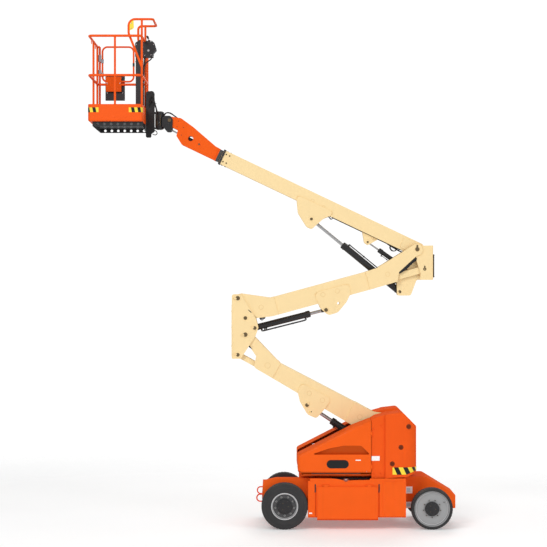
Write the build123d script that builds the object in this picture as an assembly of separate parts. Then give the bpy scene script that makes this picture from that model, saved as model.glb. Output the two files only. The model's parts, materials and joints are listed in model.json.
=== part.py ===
"""Articulating boom lift: two arms on parallel links, a telescoping boom and a work platform.

Millimetres. X runs from the platform end (-X) to the counterweight end (+X), Y across, Z up.
The origin is on the floor, at the middle of the machine's length and width.
"""
from build123d import *
from dataclasses import dataclass
import math
import os

# ---- wheels and chassis -------------------------------------------------------------------
REAR_X, REAR_R = 151.0, 316.0            # drive axle: place and tyre radius
FRONT_X, FRONT_R = 2147.0, 282.5         # steering axle
TYRE_HALF_SPAN = 750.0                   # tyres' outer faces
TYRE_WIDTH = 180.0
REAR_RIM_R, FRONT_RIM_R = 178.0, 236.0
RIM_WALL = 8.0
AXLE_R, FIT = 25.0, 0.06                 # spindle radius, and running clearance on a radius
KINGPIN_Y, KINGPIN_R, YOKE_Y = 520.0, 16.0, 440.0
STEER_ARM = 150.0
DECK_Z = 680.0
CHASSIS_LOW = 245.0
REAR_HALF, FRONT_HALF = 545.0, 350.0     # half widths of the wide and the narrow chassis
CHASSIS_REAR, CHASSIS_FRONT = -150.0, 2500.0
STEP_X = 1794.0                          # where the chassis narrows for the steered wheels
PLATE = 10.0
WELL_FRONT, WELL_SIDE, WELL_Z = 360.0, -415.0, 540.0     # the tail deck's lower part, behind its near rail
BOX_REAR, BOX_OUT, BOX_LOW, BOX_TOP = 468.0, 718.0, 165.0, 660.0
DOOR_REAR, DOOR_FRONT, DOOR_LOW, DOOR_TOP = 590.0, 1416.0, 130.0, 593.0
DOOR_THICK = 18.0
GAP = 6.0                                # between pieces that move past each other

# ---- turntable ------------------------------------------------------------------------------
SWING_X = 1145.0
RING_R, RING_TOP = 262.0, 712.0
SEAT = 0.3                               # flat running gap
BASE_TOP = 737.0
HOOD_REAR, HOOD_FRONT, HOOD_LOW, HOOD_OUT = 330.0, 1322.0, 743.0, 690.0
WEIGHT_REAR, WEIGHT_LOW, WEIGHT_HALF, WEIGHT_TAIL = 1513.0, 694.0, 700.0, 1947.0
BAND_HALF = 672.0
HOOD_PIN_X, HOOD_PIN_Y, HOOD_PIN_R, HOOD_KNUCKLE_R = 1334.0, 682.0, 4.0, 8.0
HOOD_HINGES = (850.0, 1300.0)            # heights of each hood's two hinges
SHELL = 6.0
SHOULDER, SILL, SCOOP_DEEP = 42.0, 1012.0, 40.0     # the hoods' round shoulder and their side scoops

# ---- y layers of the arms and their links ----------------------------------------------------
TUBE_HALF, WALL = 145.0, 8.0
FORK_PLATE, UPRIGHT_PLATE, LINK_PLATE, INNER_PLATE = 12.0, 15.0, 15.0, 14.0
FORK_IN = TUBE_HALF                      # fork plates, on the arms' tubes
FORK_OUT = FORK_IN + FORK_PLATE
UPRIGHT_IN = FORK_OUT + GAP              # first upright and turntable, outside the forks
UPRIGHT_OUT = UPRIGHT_IN + UPRIGHT_PLATE
INNER_OUT = FORK_IN - 4.0                # second upright's outer plates, inside the fork
INNER_IN = INNER_OUT - INNER_PLATE
LINK_OUT = INNER_IN - 7.0                # level links, inside those plates
LINK_IN = LINK_OUT - LINK_PLATE
LUG_OUT = LINK_IN - 29.0                 # second upright's cylinder lugs
LUG_IN = LUG_OUT - INNER_PLATE
SLOT_HALF = UPRIGHT_OUT + 27.0           # half width between the hoods and the weight's cheeks
CYLINDER_SLOT = 58.0                     # half width of the slots that cylinders fold into

# ---- pins and members, in the pose the machine is stored in ----------------------------------
ARM_PIN, LINK_PIN, BASE_PIN, EYE_PIN = 30.0, 18.0, 22.0, 20.0
MASTER_PIN, SLAVE_PIN, LEVEL_PIN = 16.0, 14.0, 24.0
LOWER_LINK_HALF, UPPER_LINK_HALF = 33.0, 45.0       # half depths of the level links
LOWER_PIN = (1832.0, 1393.0)
LOWER_LENGTH, LOWER_ANGLE = 2540.0, 29.0
UPPER_LENGTH, UPPER_ANGLE = 2577.0, 15.25
BOOM_ANGLE = 25.4
LINK_1 = (-105.0, -280.0)                # from the lower arm's pins to its level link's pins
LINK_2 = (105.0, -274.0)                 # the same for the upper arm
TOWER = (-105.0, 503.6)                  # first upright: lower arm's pin to upper arm's pin
LOWER_BASE = (-223.0, -503.0)            # from the lower arm's pin
MID_BASE = (129.5, 91.6)                 # from the first upright's lower pin
LIFT_BASE = (-237.0, -589.0)             # from the boom's pin
MASTER_BASE = (-144.0, -276.0)
LOWER_EYE = (1320.0, -440.0)             # along and up in each member's own frame
MID_EYE = (1137.0, -478.0)
LIFT_EYE = (1505.0, -248.0)
MASTER_EYE = (660.0, -200.0)
LEVEL_PIVOT = (3875.0, 147.0)
SLAVE_BASE, SLAVE_DROP = (3360.0, 22.0), 120.0

# ---- boom ----------------------------------------------------------------------------------
BOOM_HALF_Y, BOOM_HALF_Z, BOOM_WALL, BOOM_END = 90.0, 100.0, 6.0, 2980.0
FLY_GAP_Y, FLY_GAP_Z = 10.0, 12.0        # room for the pads between the boom's two sections
FLY_HALF_Y, FLY_HALF_Z = BOOM_HALF_Y - BOOM_WALL - FLY_GAP_Y, BOOM_HALF_Z - BOOM_WALL - FLY_GAP_Z
FLY_WALL, FLY_START, FLY_END = 5.0, 350.0, BOOM_END + 82.0
COLLAR = 30.0
NOSE_HALF, NOSE_WALL = 60.0, 10.0


@dataclass(frozen=True)
class Frame:
    """A member's own directions in the XZ plane: along it from its first pin, and up across it."""

    x: float
    z: float
    angle: float
    side: int = 1

    def point(self, along, up):
        """The X and Z of a place given along and up the member."""
        a = math.radians(self.angle)
        return (self.x + along * math.cos(a) - self.side * up * math.sin(a),
                self.z + along * math.sin(a) + self.side * up * math.cos(a))

    def plane(self, y):
        """The member's plane at one y."""
        a = math.radians(self.angle)
        return Plane(origin=(self.x, y, self.z), x_dir=(math.cos(a), 0, math.sin(a)),
                     z_dir=(0, -self.side, 0))

    def plate(self, rows, y_low, y_high):
        """A flat plate from rows of along, up, corner radius."""
        return extrude(self.plane(y_high) * outline(rows), amount=y_high - y_low, dir=(0, -1, 0))

    def bar(self, along_low, along_high, up_low, up_high, y_low, y_high):
        """A square-edged bar."""
        rows = [(along_low, up_low, 0), (along_high, up_low, 0), (along_high, up_high, 0),
                (along_low, up_high, 0)]
        return self.plate(rows, y_low, y_high)


def outline(rows):
    """A closed face from rows of across, up, corner radius."""
    corners = [Vector(x, y) for x, y, _ in rows]
    starts, ends, edges = [], [], []
    for i, (_, _, radius) in enumerate(rows):
        corner = corners[i]
        back = (corners[i - 1] - corner).normalized()
        ahead = (corners[(i + 1) % len(rows)] - corner).normalized()
        if radius == 0:
            starts.append(corner)
            ends.append(corner)
            continue
        half = math.radians(back.get_angle(ahead)) / 2
        reach = radius / math.tan(half)
        middle = corner + (back + ahead).normalized() * radius * (1 / math.sin(half) - 1)
        starts.append(corner + back * reach)
        ends.append(corner + ahead * reach)
        edges.append(ThreePointArc(starts[-1], middle, ends[-1]))
    for i, end in enumerate(ends):
        following = starts[(i + 1) % len(rows)]
        if (following - end).length > 0.001:
            edges.append(Line(end, following))
    return make_face(edges)


def add(place, offset):
    """A pin's place from another pin's and the offset between them."""
    return (place[0] + offset[0], place[1] + offset[1])


WORLD = Frame(0, 0, 0)
LOWER = Frame(*LOWER_PIN, 180 - LOWER_ANGLE, -1)
LOWER_TIP = LOWER.point(LOWER_LENGTH, 0)
UPPER_PIN = add(LOWER_TIP, TOWER)
UPPER = Frame(*UPPER_PIN, UPPER_ANGLE, 1)
BOOM_PIN = UPPER.point(UPPER_LENGTH, 0)
BOOM = Frame(*BOOM_PIN, 180 - BOOM_ANGLE, -1)
PIVOT = BOOM.point(*LEVEL_PIVOT)
SLAVE_EYE = (PIVOT[0], PIVOT[1] - SLAVE_DROP)

# ---- platform -------------------------------------------------------------------------------
RAIL_R, POST_HALF = 17.0, 32.0
ROTATOR_X = PIVOT[0] - 141.35
PLAT_LONG, PLAT_HALF = 748.0, 610.0
PLAT_RIGHT = PIVOT[0] - 332.35
PLAT_LEFT = PLAT_RIGHT - PLAT_LONG
FLOOR_Z = PIVOT[1] - 59.76
TOE_TOP, MID_RAIL, TOP_RAIL, GUARD_Z = FLOOR_Z + 229.0, FLOOR_Z + 627.0, FLOOR_Z + 1163.0, FLOOR_Z + 1395.0
POST_MIDDLE, GATE_POSTS = PLAT_LEFT + 369.0, (PLAT_LEFT + 48.0, PLAT_RIGHT - 174.0)
GATE_HINGE_X, GATE_CATCH_X, GATE_R = GATE_POSTS[0] + 38.0, GATE_POSTS[1] - 44.0, 13.0
PAN_CORNER, PAN_EDGE = 50.0, 24.0         # the pan's corners in plan, and its lower edge
ANCHOR_Y, ANCHOR_DROP, ANCHOR_R, ANCHOR_THICK = 270.0, 44.0, 12.0, 8.0      # lanyard anchors, on the top rail


def disc(place, radius, y_low, y_high):
    """A round bar along Y."""
    start = Plane(origin=(place[0], y_high, place[1]), z_dir=(0, -1, 0))
    return extrude(start * Circle(radius), amount=y_high - y_low)


def post(x, y, radius, z_low, z_high):
    """A round bar along Z."""
    return extrude(Plane(origin=(x, y, z_low)) * Circle(radius), amount=z_high - z_low)


def rod(start, end, radius):
    """A round bar between two points in space."""
    a, b = Vector(*start), Vector(*end)
    return extrude(Plane(origin=a, z_dir=(b - a).normalized()) * Circle(radius), amount=(b - a).length)


def bent_tube(points, bends, radius):
    """A round tube through points, with one bend radius for each point between the ends."""
    corners = [Vector(*point) for point in points]
    edges, last = [], corners[0]
    for i, bend in enumerate(bends, start=1):
        corner = corners[i]
        back = (corners[i - 1] - corner).normalized()
        ahead = (corners[i + 1] - corner).normalized()
        half = math.radians(back.get_angle(ahead)) / 2
        reach = bend / math.tan(half)
        middle = corner + (back + ahead).normalized() * bend * (1 / math.sin(half) - 1)
        edges.append(Edge.make_line(last, corner + back * reach))
        last = corner + ahead * reach
        edges.append(Edge.make_three_point_arc(corner + back * reach, middle, last))
    edges.append(Edge.make_line(last, corners[-1]))
    start = Plane(origin=corners[0], z_dir=(corners[1] - corners[0]).normalized())
    return sweep(start * Circle(radius), path=Wire(edges))


def block(x, y, z):
    """A square-edged block from the low and high ends of its X, Y and Z spans."""
    size = [high - low for low, high in (x, y, z)]
    centre = [(high + low) / 2 for low, high in (x, y, z)]
    return Pos(*centre) * Box(*size)


def both_sides(solid):
    """The solid and its mirror image across the machine."""
    return solid + mirror(solid, about=Plane.XZ)


def pair(frame, rows, y_low, y_high):
    """Two like plates, one each side of the machine's middle."""
    return both_sides(frame.plate(rows, y_low, y_high))


def through(place, radius):
    """A cutter for a hole right across the machine."""
    return disc(place, radius, -900, 900)


# ---- chassis -------------------------------------------------------------------------------

def chassis_frame():
    """Welded chassis: a wide rear half with a rounded, stepped tail, and a narrow sloping front half."""
    rear = [(CHASSIS_REAR, CHASSIS_LOW, 10), (CHASSIS_REAR, 640, 100), (40, DECK_Z, 60),
            (STEP_X, DECK_Z, 0), (STEP_X, CHASSIS_LOW, 0)]
    inset = PLATE
    rear_in = [(CHASSIS_REAR + inset, CHASSIS_LOW - 50, 0), (CHASSIS_REAR + inset, 632, 92),
               (40, DECK_Z - inset, 50), (STEP_X - inset, DECK_Z - inset, 0),
               (STEP_X - inset, CHASSIS_LOW - 50, 0)]
    front = [(STEP_X - inset, CHASSIS_LOW, 0), (STEP_X - inset, DECK_Z, 0), (2090, DECK_Z, 60),
             (CHASSIS_FRONT, 430, 25), (CHASSIS_FRONT, CHASSIS_LOW, 10)]
    front_in = [(STEP_X, CHASSIS_LOW - 50, 0), (STEP_X, DECK_Z - inset, 0), (2087, DECK_Z - inset, 50),
                (CHASSIS_FRONT - inset, 424, 15), (CHASSIS_FRONT - inset, CHASSIS_LOW - 50, 0)]
    body = WORLD.plate(rear, -REAR_HALF, REAR_HALF)
    room = WORLD.plate(rear_in, -REAR_HALF + inset, REAR_HALF - inset)
    room -= block((CHASSIS_REAR, WELL_FRONT + inset), (WELL_SIDE - inset, REAR_HALF), (WELL_Z - inset, DECK_Z))
    body -= room
    body -= block((CHASSIS_REAR - 1, WELL_FRONT), (WELL_SIDE, REAR_HALF + 1), (WELL_Z, DECK_Z + 1))
    body += WORLD.plate(front, -FRONT_HALF, FRONT_HALF)
    body -= WORLD.plate(front_in, -FRONT_HALF + inset, FRONT_HALF - inset)
    body -= through((REAR_X, REAR_R), 70)
    body -= block((FRONT_X - 60, FRONT_X + 60), (-400, 400), (FRONT_R - 60, FRONT_R + 60))
    return body


def axles():
    """Rear axle housing with its drive motors, and the front beam with its kingpin yokes."""
    rear = disc((REAR_X, REAR_R), 69.9, -REAR_HALF - 20, REAR_HALF + 20)
    rear += both_sides(disc((REAR_X, REAR_R), 110, REAR_HALF - PLATE - 90, REAR_HALF - PLATE))
    rear += both_sides(disc((REAR_X, REAR_R), AXLE_R, REAR_HALF + 20, TYRE_HALF_SPAN - 45))
    beam = block((FRONT_X - 59.9, FRONT_X + 59.9), (-YOKE_Y, YOKE_Y),
                 (FRONT_R - 59.9, FRONT_R + 59.9))
    for up in (-1, 1):
        z_low = FRONT_R + min(up * 46, up * 60)
        beam += both_sides(block((FRONT_X - 28, FRONT_X + 28), (YOKE_Y - 1, KINGPIN_Y + 26),
                                 (z_low, z_low + 14)))
    beam += both_sides(post(FRONT_X, KINGPIN_Y, KINGPIN_R, FRONT_R - 60, FRONT_R + 60))
    return [rear, beam]


def battery_boxes():
    """Open trays along each side of the chassis, between the wheels."""
    box = block((BOX_REAR, STEP_X), (-BOX_OUT, -REAR_HALF), (BOX_LOW, BOX_TOP))
    box -= block((BOX_REAR + PLATE, STEP_X - PLATE), (-BOX_OUT + PLATE, -REAR_HALF),
                 (BOX_LOW + PLATE, BOX_TOP - PLATE))
    box -= block((DOOR_REAR + 14, DOOR_FRONT - 14), (-BOX_OUT - 1, -BOX_OUT + PLATE + 1),
                 (BOX_LOW + PLATE, DOOR_TOP - 14))
    hinge_y, hinge_z = -BOX_OUT - 10, DOOR_TOP + 9
    for x in (DOOR_REAR + 120, DOOR_FRONT - 120):
        box += rod((x - 50, hinge_y, hinge_z), (x + 50, hinge_y, hinge_z), 4)
        for start in (x - 50, x + 25):
            box += rod((start, hinge_y, hinge_z), (start + 25, hinge_y, hinge_z), 9)
            box += block((start, start + 25), (hinge_y, -BOX_OUT), (hinge_z - 4, hinge_z + 9))
    return [box, mirror(box, about=Plane.XZ)]


def battery_door():
    """One battery door, hung from the hinge pins above it, on the near side."""
    hinge_y, hinge_z = -BOX_OUT - 10, DOOR_TOP + 9
    door = block((DOOR_REAR, DOOR_FRONT), (-BOX_OUT - 1 - DOOR_THICK, -BOX_OUT - 1),
                 (DOOR_LOW, DOOR_TOP - 6))
    for x in (DOOR_REAR + 120, DOOR_FRONT - 120):
        door += rod((x - 24, hinge_y, hinge_z), (x + 24, hinge_y, hinge_z), 9)
        door += block((x - 24, x + 24), (hinge_y - 9, hinge_y), (DOOR_TOP - 12, hinge_z))
        door -= rod((x - 30, hinge_y, hinge_z), (x + 30, hinge_y, hinge_z), 4 + FIT)
    return door


def batteries():
    """Four traction batteries in each tray, as plain blocks."""
    cells = []
    pitch = 190
    for row in range(4):
        x = DOOR_REAR + 30 + row * pitch
        cell = block((x, x + pitch - 8), (-BOX_OUT + 22, -REAR_HALF - 4), (BOX_LOW + PLATE, 520))
        cells += [cell, mirror(cell, about=Plane.XZ)]
    return cells


def tie_down_rings():
    """Two bent-rod rings on the tail."""
    ring_z, ring_y, half, reach = 400, 440, 48, 78
    rings = []
    for y in (-ring_y, ring_y):
        points = [(CHASSIS_REAR, y, ring_z + half), (CHASSIS_REAR - reach, y, ring_z + half),
                  (CHASSIS_REAR - reach, y, ring_z - half), (CHASSIS_REAR, y, ring_z - half)]
        rings.append(bent_tube(points, [half - 3, half - 3], 9))
    return rings


def slew_ring():
    """The swing bearing's fixed race on the deck."""
    return post(SWING_X, 0, RING_R, DECK_Z, RING_TOP) - post(SWING_X, 0, 170, DECK_Z, RING_TOP)


# ---- wheels --------------------------------------------------------------------------------

def turned(rows, x, z, side):
    """A turned piece on a wheel's axis: rows of radius, distance out from the middle, radius."""
    middle = Plane(origin=(x, 0, z), x_dir=(1, 0, 0), z_dir=(0, 0, 1))
    face = middle * outline([(radius, side * out, corner) for radius, out, corner in rows])
    return revolve(face, axis=Axis((x, 0, z), (0, 1, 0)))


def tyre(x, radius, rim, side):
    """A tyre with rounded shoulders."""
    inner, outer = TYRE_HALF_SPAN - TYRE_WIDTH, TYRE_HALF_SPAN
    bulge = 0.4 * (radius - rim)
    rows = [(rim, inner + 12, 0), (rim + bulge, inner, bulge / 2), (radius, inner + 18, 15),
            (radius, outer - 18, 15), (rim + bulge, outer, bulge / 2), (rim, outer - 12, 0)]
    return turned(rows, x, radius, side)


def rim(x, radius, rim_radius, side, disc_out, hub):
    """A rim: barrel, dished disc and bored hub."""
    inner, outer = TYRE_HALF_SPAN - TYRE_WIDTH + 14, TYRE_HALF_SPAN - 14
    bore = AXLE_R + FIT
    rows = [(bore, disc_out - 40, 0), (hub, disc_out - 40, 4), (hub, disc_out - 8, 0),
            (rim_radius - RIM_WALL, disc_out - 8, 0), (rim_radius - RIM_WALL, inner, 0),
            (rim_radius, inner, 0), (rim_radius, outer, 0), (rim_radius - RIM_WALL, outer, 0),
            (rim_radius - RIM_WALL, disc_out, 0), (hub, disc_out, 0), (hub, disc_out + 34, 8),
            (hub - 14, disc_out + 34, 0), (hub - 14, disc_out + 20, 0), (bore, disc_out + 20, 0)]
    return turned(rows, x, radius, side)


def knuckle(side):
    """A steering knuckle: kingpin boss, wheel spindle and steering arm."""
    boss = post(FRONT_X, KINGPIN_Y, 26, FRONT_R - 45.7, FRONT_R + 45.7)
    boss += disc((FRONT_X, FRONT_R), AXLE_R, KINGPIN_Y, TYRE_HALF_SPAN - 45)
    boss += disc((FRONT_X, FRONT_R), 40, KINGPIN_Y + 20, KINGPIN_Y + 48)
    arm_z = FRONT_R - 45.7
    boss += block((FRONT_X - STEER_ARM, FRONT_X), (KINGPIN_Y - 16, KINGPIN_Y + 16), (arm_z, arm_z + 14))
    boss += post(FRONT_X - STEER_ARM, KINGPIN_Y, 18, arm_z, arm_z + 14)
    boss += post(FRONT_X - STEER_ARM, KINGPIN_Y, 8, arm_z - 40, arm_z)
    boss -= post(FRONT_X, KINGPIN_Y, KINGPIN_R + FIT, FRONT_R - 60, FRONT_R + 60)
    return boss if side > 0 else mirror(boss, about=Plane.XZ)


def tie_rod():
    """The track rod between the steering arms."""
    z = FRONT_R - 45.7 - 24
    x = FRONT_X - STEER_ARM
    bar = rod((x, -KINGPIN_Y, z), (x, KINGPIN_Y, z), 12)
    for y in (-KINGPIN_Y, KINGPIN_Y):
        bar += post(x, y, 17, z - 14, z + 14)
        bar -= post(x, y, 8 + FIT, z - 20, z + 20)
    return bar


# ---- turntable -----------------------------------------------------------------------------

def turntable_frame():
    """Base plate on the swing bearing, with the two upright plates that carry the lower arm."""
    base = block((380, 1500), (-600, 600), (RING_TOP + SEAT, BASE_TOP))
    rows = [(700, BASE_TOP, 0), (1180, 960, 90), (1500, 1330, 80), (1700, 1480, 60), (1880, 1480, 60),
            (1900, 1330, 40), (1900, BASE_TOP, 0)]
    base += pair(WORLD, rows, UPRIGHT_IN, UPRIGHT_OUT)
    base += block((1400, 1900), (-SLOT_HALF, SLOT_HALF), (RING_TOP + SEAT, BASE_TOP))
    link_pin, base_pin = add(LOWER_PIN, LINK_1), add(LOWER_PIN, LOWER_BASE)
    base += both_sides(disc(LOWER_PIN, ARM_PIN, TUBE_HALF - 2, UPRIGHT_OUT))
    base += both_sides(disc(link_pin, LINK_PIN, LINK_IN - 2, UPRIGHT_OUT))
    base += disc(base_pin, BASE_PIN, -UPRIGHT_OUT, UPRIGHT_OUT)
    return base


def hood_outline(inset):
    """The side outline of a hood, moved in by one wall."""
    return [(HOOD_REAR + inset, HOOD_LOW - inset, 60 - inset if inset == 0 else 0),
            (HOOD_REAR + inset, 1000 - inset / 2, 45 - inset), (774, 1227 - inset * 1.1, 300),
            (1086, 1388 - inset * 1.1, 300), (HOOD_FRONT + inset, 1478 - inset * 1.1, 0),
            (HOOD_FRONT + inset, HOOD_LOW - inset, 0)]


def hood_block(inset, shoulder):
    """The space inside a hood's skin, moved in by a wall, with a round shoulder on its outer side."""
    out = -HOOD_OUT + inset
    space = WORLD.plate(hood_outline(inset), out, -SLOT_HALF + (1 if inset else 0))
    edges = space.faces().filter_by(Axis.Y).sort_by(Axis.Y)[0].edges()
    return fillet([e for e in edges if e.center().Z > HOOD_LOW + 60 and e.center().X < HOOD_FRONT - 1], shoulder)


def scoop(inset):
    """The scoop in a hood's side, which is deepest along its sill: its cutter, or the skin behind it."""
    rows = [(500 - inset, SILL - inset, 10), (746, 1095 + inset, 80), (960, 1136 + inset, 120),
            (1190, 1134 + inset, 60), (HOOD_FRONT - 10, SILL - inset, 10)]
    face = Plane.YZ * outline([(-HOOD_OUT - 1, SILL - inset, 0), (-HOOD_OUT + SCOOP_DEEP + inset, SILL - inset, 0),
                               (-HOOD_OUT + inset, 1140 + inset, 0), (-HOOD_OUT - 1, 1140 + inset, 0)])
    return WORLD.plate(rows, -HOOD_OUT - 1, -HOOD_OUT + 80) & extrude(face, amount=2000, dir=(1, 0, 0))


def hood(side):
    """One moulded hood: a shell open below, at the back and towards the middle."""
    block_out = hood_block(0, SHOULDER)
    outer = block_out - hood_block(SHELL, SHOULDER - SHELL)
    outer += scoop(SHELL) & block_out
    outer -= scoop(0)
    for z in HOOD_HINGES:
        outer += block((HOOD_FRONT - 20, HOOD_PIN_X), (-HOOD_OUT, -HOOD_PIN_Y - 2), (z - 20, z + 20))
        outer += post(HOOD_PIN_X, -HOOD_PIN_Y, HOOD_KNUCKLE_R, z - 20, z + 20)
        outer -= post(HOOD_PIN_X, -HOOD_PIN_Y, HOOD_PIN_R + FIT, z - 21, z + 21)
    return outer if side < 0 else mirror(outer, about=Plane.XZ)


def counterweight():
    """Cast counterweight in two cheeks, joined low at the tail, with the arms between them."""
    plan = [(HOOD_FRONT + 6, SLOT_HALF, 0), (HOOD_FRONT + 6, BAND_HALF, 0), (WEIGHT_REAR, BAND_HALF, 0),
            (WEIGHT_REAR, WEIGHT_HALF, 15), (WEIGHT_TAIL, WEIGHT_HALF, 190), (WEIGHT_TAIL, SLOT_HALF, 20)]
    tail = WEIGHT_TAIL + 4
    side = [(HOOD_FRONT - 40, 1451, 0), (1396, 1520, 60), (1541, 1560, 80), (1750, 1585, 60),
            (tail, 1385, 40), (tail, 770, 40), (1810, 712, 60), (1520, WEIGHT_LOW, 0),
            (HOOD_FRONT - 40, WEIGHT_LOW, 0)]
    cheek = extrude(Plane.XY.offset(600) * outline(plan), amount=1100, dir=(0, 0, 1))
    cheek &= WORLD.plate(side, 0, 800)
    hollow = block((HOOD_FRONT, WEIGHT_REAR - 20), (SLOT_HALF - 1, BAND_HALF - 8), (WEIGHT_LOW - 1, 1440))
    cheek -= hollow
    cheek -= block((HOOD_FRONT, 1500 + SEAT), (0, 600 + SEAT), (600, BASE_TOP + SEAT))
    weight = both_sides(cheek)
    bridge = [(1700, BASE_TOP, 0), (1700, 800, 20), (WEIGHT_TAIL, 800, 20), (WEIGHT_TAIL, BASE_TOP, 20)]
    weight += WORLD.plate(bridge, -SLOT_HALF - 5, SLOT_HALF + 5)
    for place in (LOWER_PIN, add(LOWER_PIN, LINK_1), add(LOWER_PIN, LOWER_BASE)):
        weight -= both_sides(disc(place, 34, WEIGHT_HALF - 30, WEIGHT_HALF + 30))
    weight -= pair(WORLD, [(690, 700, 0), (1905, 700, 0), (1905, 1490, 0), (690, 1490, 0)],
                   UPRIGHT_IN, UPRIGHT_OUT + 1)
    for z in HOOD_HINGES:
        hinge = post(HOOD_PIN_X, HOOD_PIN_Y, HOOD_PIN_R, z - 42, z + 42)
        for low in (z - 42, z + 21):
            hinge += post(HOOD_PIN_X, HOOD_PIN_Y, HOOD_KNUCKLE_R, low, low + 21)
            hinge += block((HOOD_PIN_X - 4, HOOD_PIN_X + 8), (BAND_HALF - 6, HOOD_PIN_Y), (low, low + 21))
        weight += both_sides(hinge)
    return weight


def power_pack():
    """Pump and motor under one hood, hydraulic tank under the other, as plain blocks."""
    pump = block((520, 1180), (-600, -260), (BASE_TOP, 1010))
    tank = block((520, 1180), (260, 600), (BASE_TOP, 1010))
    return [pump, tank]


# ---- arms ----------------------------------------------------------------------------------

def lower_arm():
    """Lower arm: tapered tube hung below its pins, fork plates at both ends, cylinder lug below."""
    tip = LOWER_LENGTH
    tube = LOWER.plate([(560, -80, 0), (tip - 540, -118, 0), (tip - 540, -346, 0), (560, -383, 0)],
                       -TUBE_HALF, TUBE_HALF)
    tube -= LOWER.plate([(550, -88, 0), (tip - 530, -126, 0), (tip - 530, -338, 0), (550, -375, 0)],
                        -TUBE_HALF + WALL, TUBE_HALF - WALL)
    foot = [(-60, -60, 58), (-60, 60, 58), (70, 60, 50), (440, -82, 60), (760, -85, 20), (760, -378, 20),
            (388, -383, 40), (190, -340, 30), (135, -240, 20), (60, -100, 40)]
    head = [(tip - 620, -115, 10), (tip - 560, -100, 60), (tip - 40, 62, 50), (tip + 62, 62, 58),
            (tip + 62, -62, 58), (tip - 100, -100, 30), (tip - 276, -190, 20), (tip - 315, -322, 40),
            (tip - 350, -341, 20), (tip - 620, -348, 10)]
    lug = [(1060, -200, 60), (1540, -210, 60), (1516, -350, 20), (1430, -446, 80), (1250, -551, 90),
           (1116, -540, 50), (1085, -400, 60)]
    arm = tube + pair(LOWER, foot, FORK_IN, FORK_OUT) + pair(LOWER, head, FORK_IN, FORK_OUT)
    arm += pair(LOWER, lug, FORK_IN, FORK_OUT)
    arm -= LOWER.bar(559, 1620, -390, -330, -CYLINDER_SLOT, CYLINDER_SLOT)
    arm += both_sides(disc(LOWER.point(*LOWER_EYE), 34, FORK_OUT, FORK_OUT + 6))
    arm -= through(LOWER_PIN, ARM_PIN + FIT)
    arm -= through(LOWER_TIP, ARM_PIN + FIT)
    return arm


def level_link(start, end, half):
    """A level link: two flat bars with bored eyes."""
    length = math.dist(start, end)
    angle = math.degrees(math.atan2(end[1] - start[1], end[0] - start[0]))
    frame = Frame(*start, angle)
    bars = pair(frame, [(-36, -half, half), (length + 36, -half, half), (length + 36, half, half), (-36, half, half)],
                LINK_IN, LINK_OUT)
    for place in (start, end):
        bars += both_sides(disc(place, 34, LINK_IN, LINK_OUT))
        bars -= through(place, LINK_PIN + FIT)
    return bars


def upright_1():
    """First upright: two plates and a front web round the pins of both arms."""
    x, z = LOWER_TIP
    left, low, high = x - 188, z - 335, UPPER_PIN[1] + 53
    rows = [(left, low, 10), (left, high, 25), (x - 60, high, 50), (x + 148, z + 222, 60),
            (x + 182, z + 98, 60), (x + 140, z - 24, 60), (x - 65, low, 40)]
    frame = pair(WORLD, rows, UPRIGHT_IN, UPRIGHT_OUT)
    frame += block((left, left + 10), (-UPRIGHT_OUT, UPRIGHT_OUT), (low + 14, high - 131))
    pins = ((LOWER_TIP, ARM_PIN), (UPPER_PIN, ARM_PIN), (add(LOWER_TIP, LINK_1), LINK_PIN),
            (add(UPPER_PIN, LINK_2), LINK_PIN), (add(LOWER_TIP, MID_BASE), BASE_PIN))
    for place, radius in pins:
        frame += disc(place, radius, -UPRIGHT_OUT - 5, UPRIGHT_OUT + 5)
    return frame


def upper_arm():
    """Upper arm: tube below its pins, forks at both ends, lug for its cylinder."""
    tip = UPPER_LENGTH
    tube = UPPER.bar(420, tip - 707, -368, -112, -TUBE_HALF, TUBE_HALF)
    tube -= UPPER.bar(410, tip - 697, -360, -120, -TUBE_HALF + WALL, TUBE_HALF - WALL)
    foot = [(-50, -55, 50), (-50, 52, 50), (60, 52, 50), (440, -112, 40), (485, -112, 10), (485, -368, 10),
            (400, -368, 40), (185, -336, 30), (130, -240, 20), (60, -95, 40)]
    head = [(tip - 775, -112, 10), (tip - 614, -104, 60), (tip - 213, 16, 60), (tip - 37, 72, 60),
            (tip + 73, 72, 70), (tip + 73, -72, 70), (tip - 40, -90, 60), (tip - 327, -238, 40),
            (tip - 382, -360, 20), (tip - 775, -368, 10)]
    lug = [(1040, -210, 60), (1540, -210, 60), (1523, -350, 20), (1441, -446, 80), (1287, -555, 90),
           (1150, -560, 60), (1068, -440, 60)]
    arm = tube + pair(UPPER, foot, FORK_IN, FORK_OUT) + pair(UPPER, head, FORK_IN, FORK_OUT)
    arm += pair(UPPER, lug, FORK_IN, FORK_OUT)
    arm -= UPPER.bar(419, 1560, -380, -340, -CYLINDER_SLOT, CYLINDER_SLOT)
    arm -= UPPER.bar(tip - 1347, tip - 706, -140, -100, -CYLINDER_SLOT, CYLINDER_SLOT)
    arm -= UPPER.bar(tip - 797, tip - 706, -380, -340, -CYLINDER_SLOT, CYLINDER_SLOT)
    arm -= through(UPPER.point(1328, -435), 20)
    arm += both_sides(disc(UPPER.point(*MID_EYE), 34, FORK_OUT, FORK_OUT + 6))
    arm -= through(UPPER_PIN, ARM_PIN + FIT)
    arm -= through(BOOM_PIN, ARM_PIN + FIT)
    return arm


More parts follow.
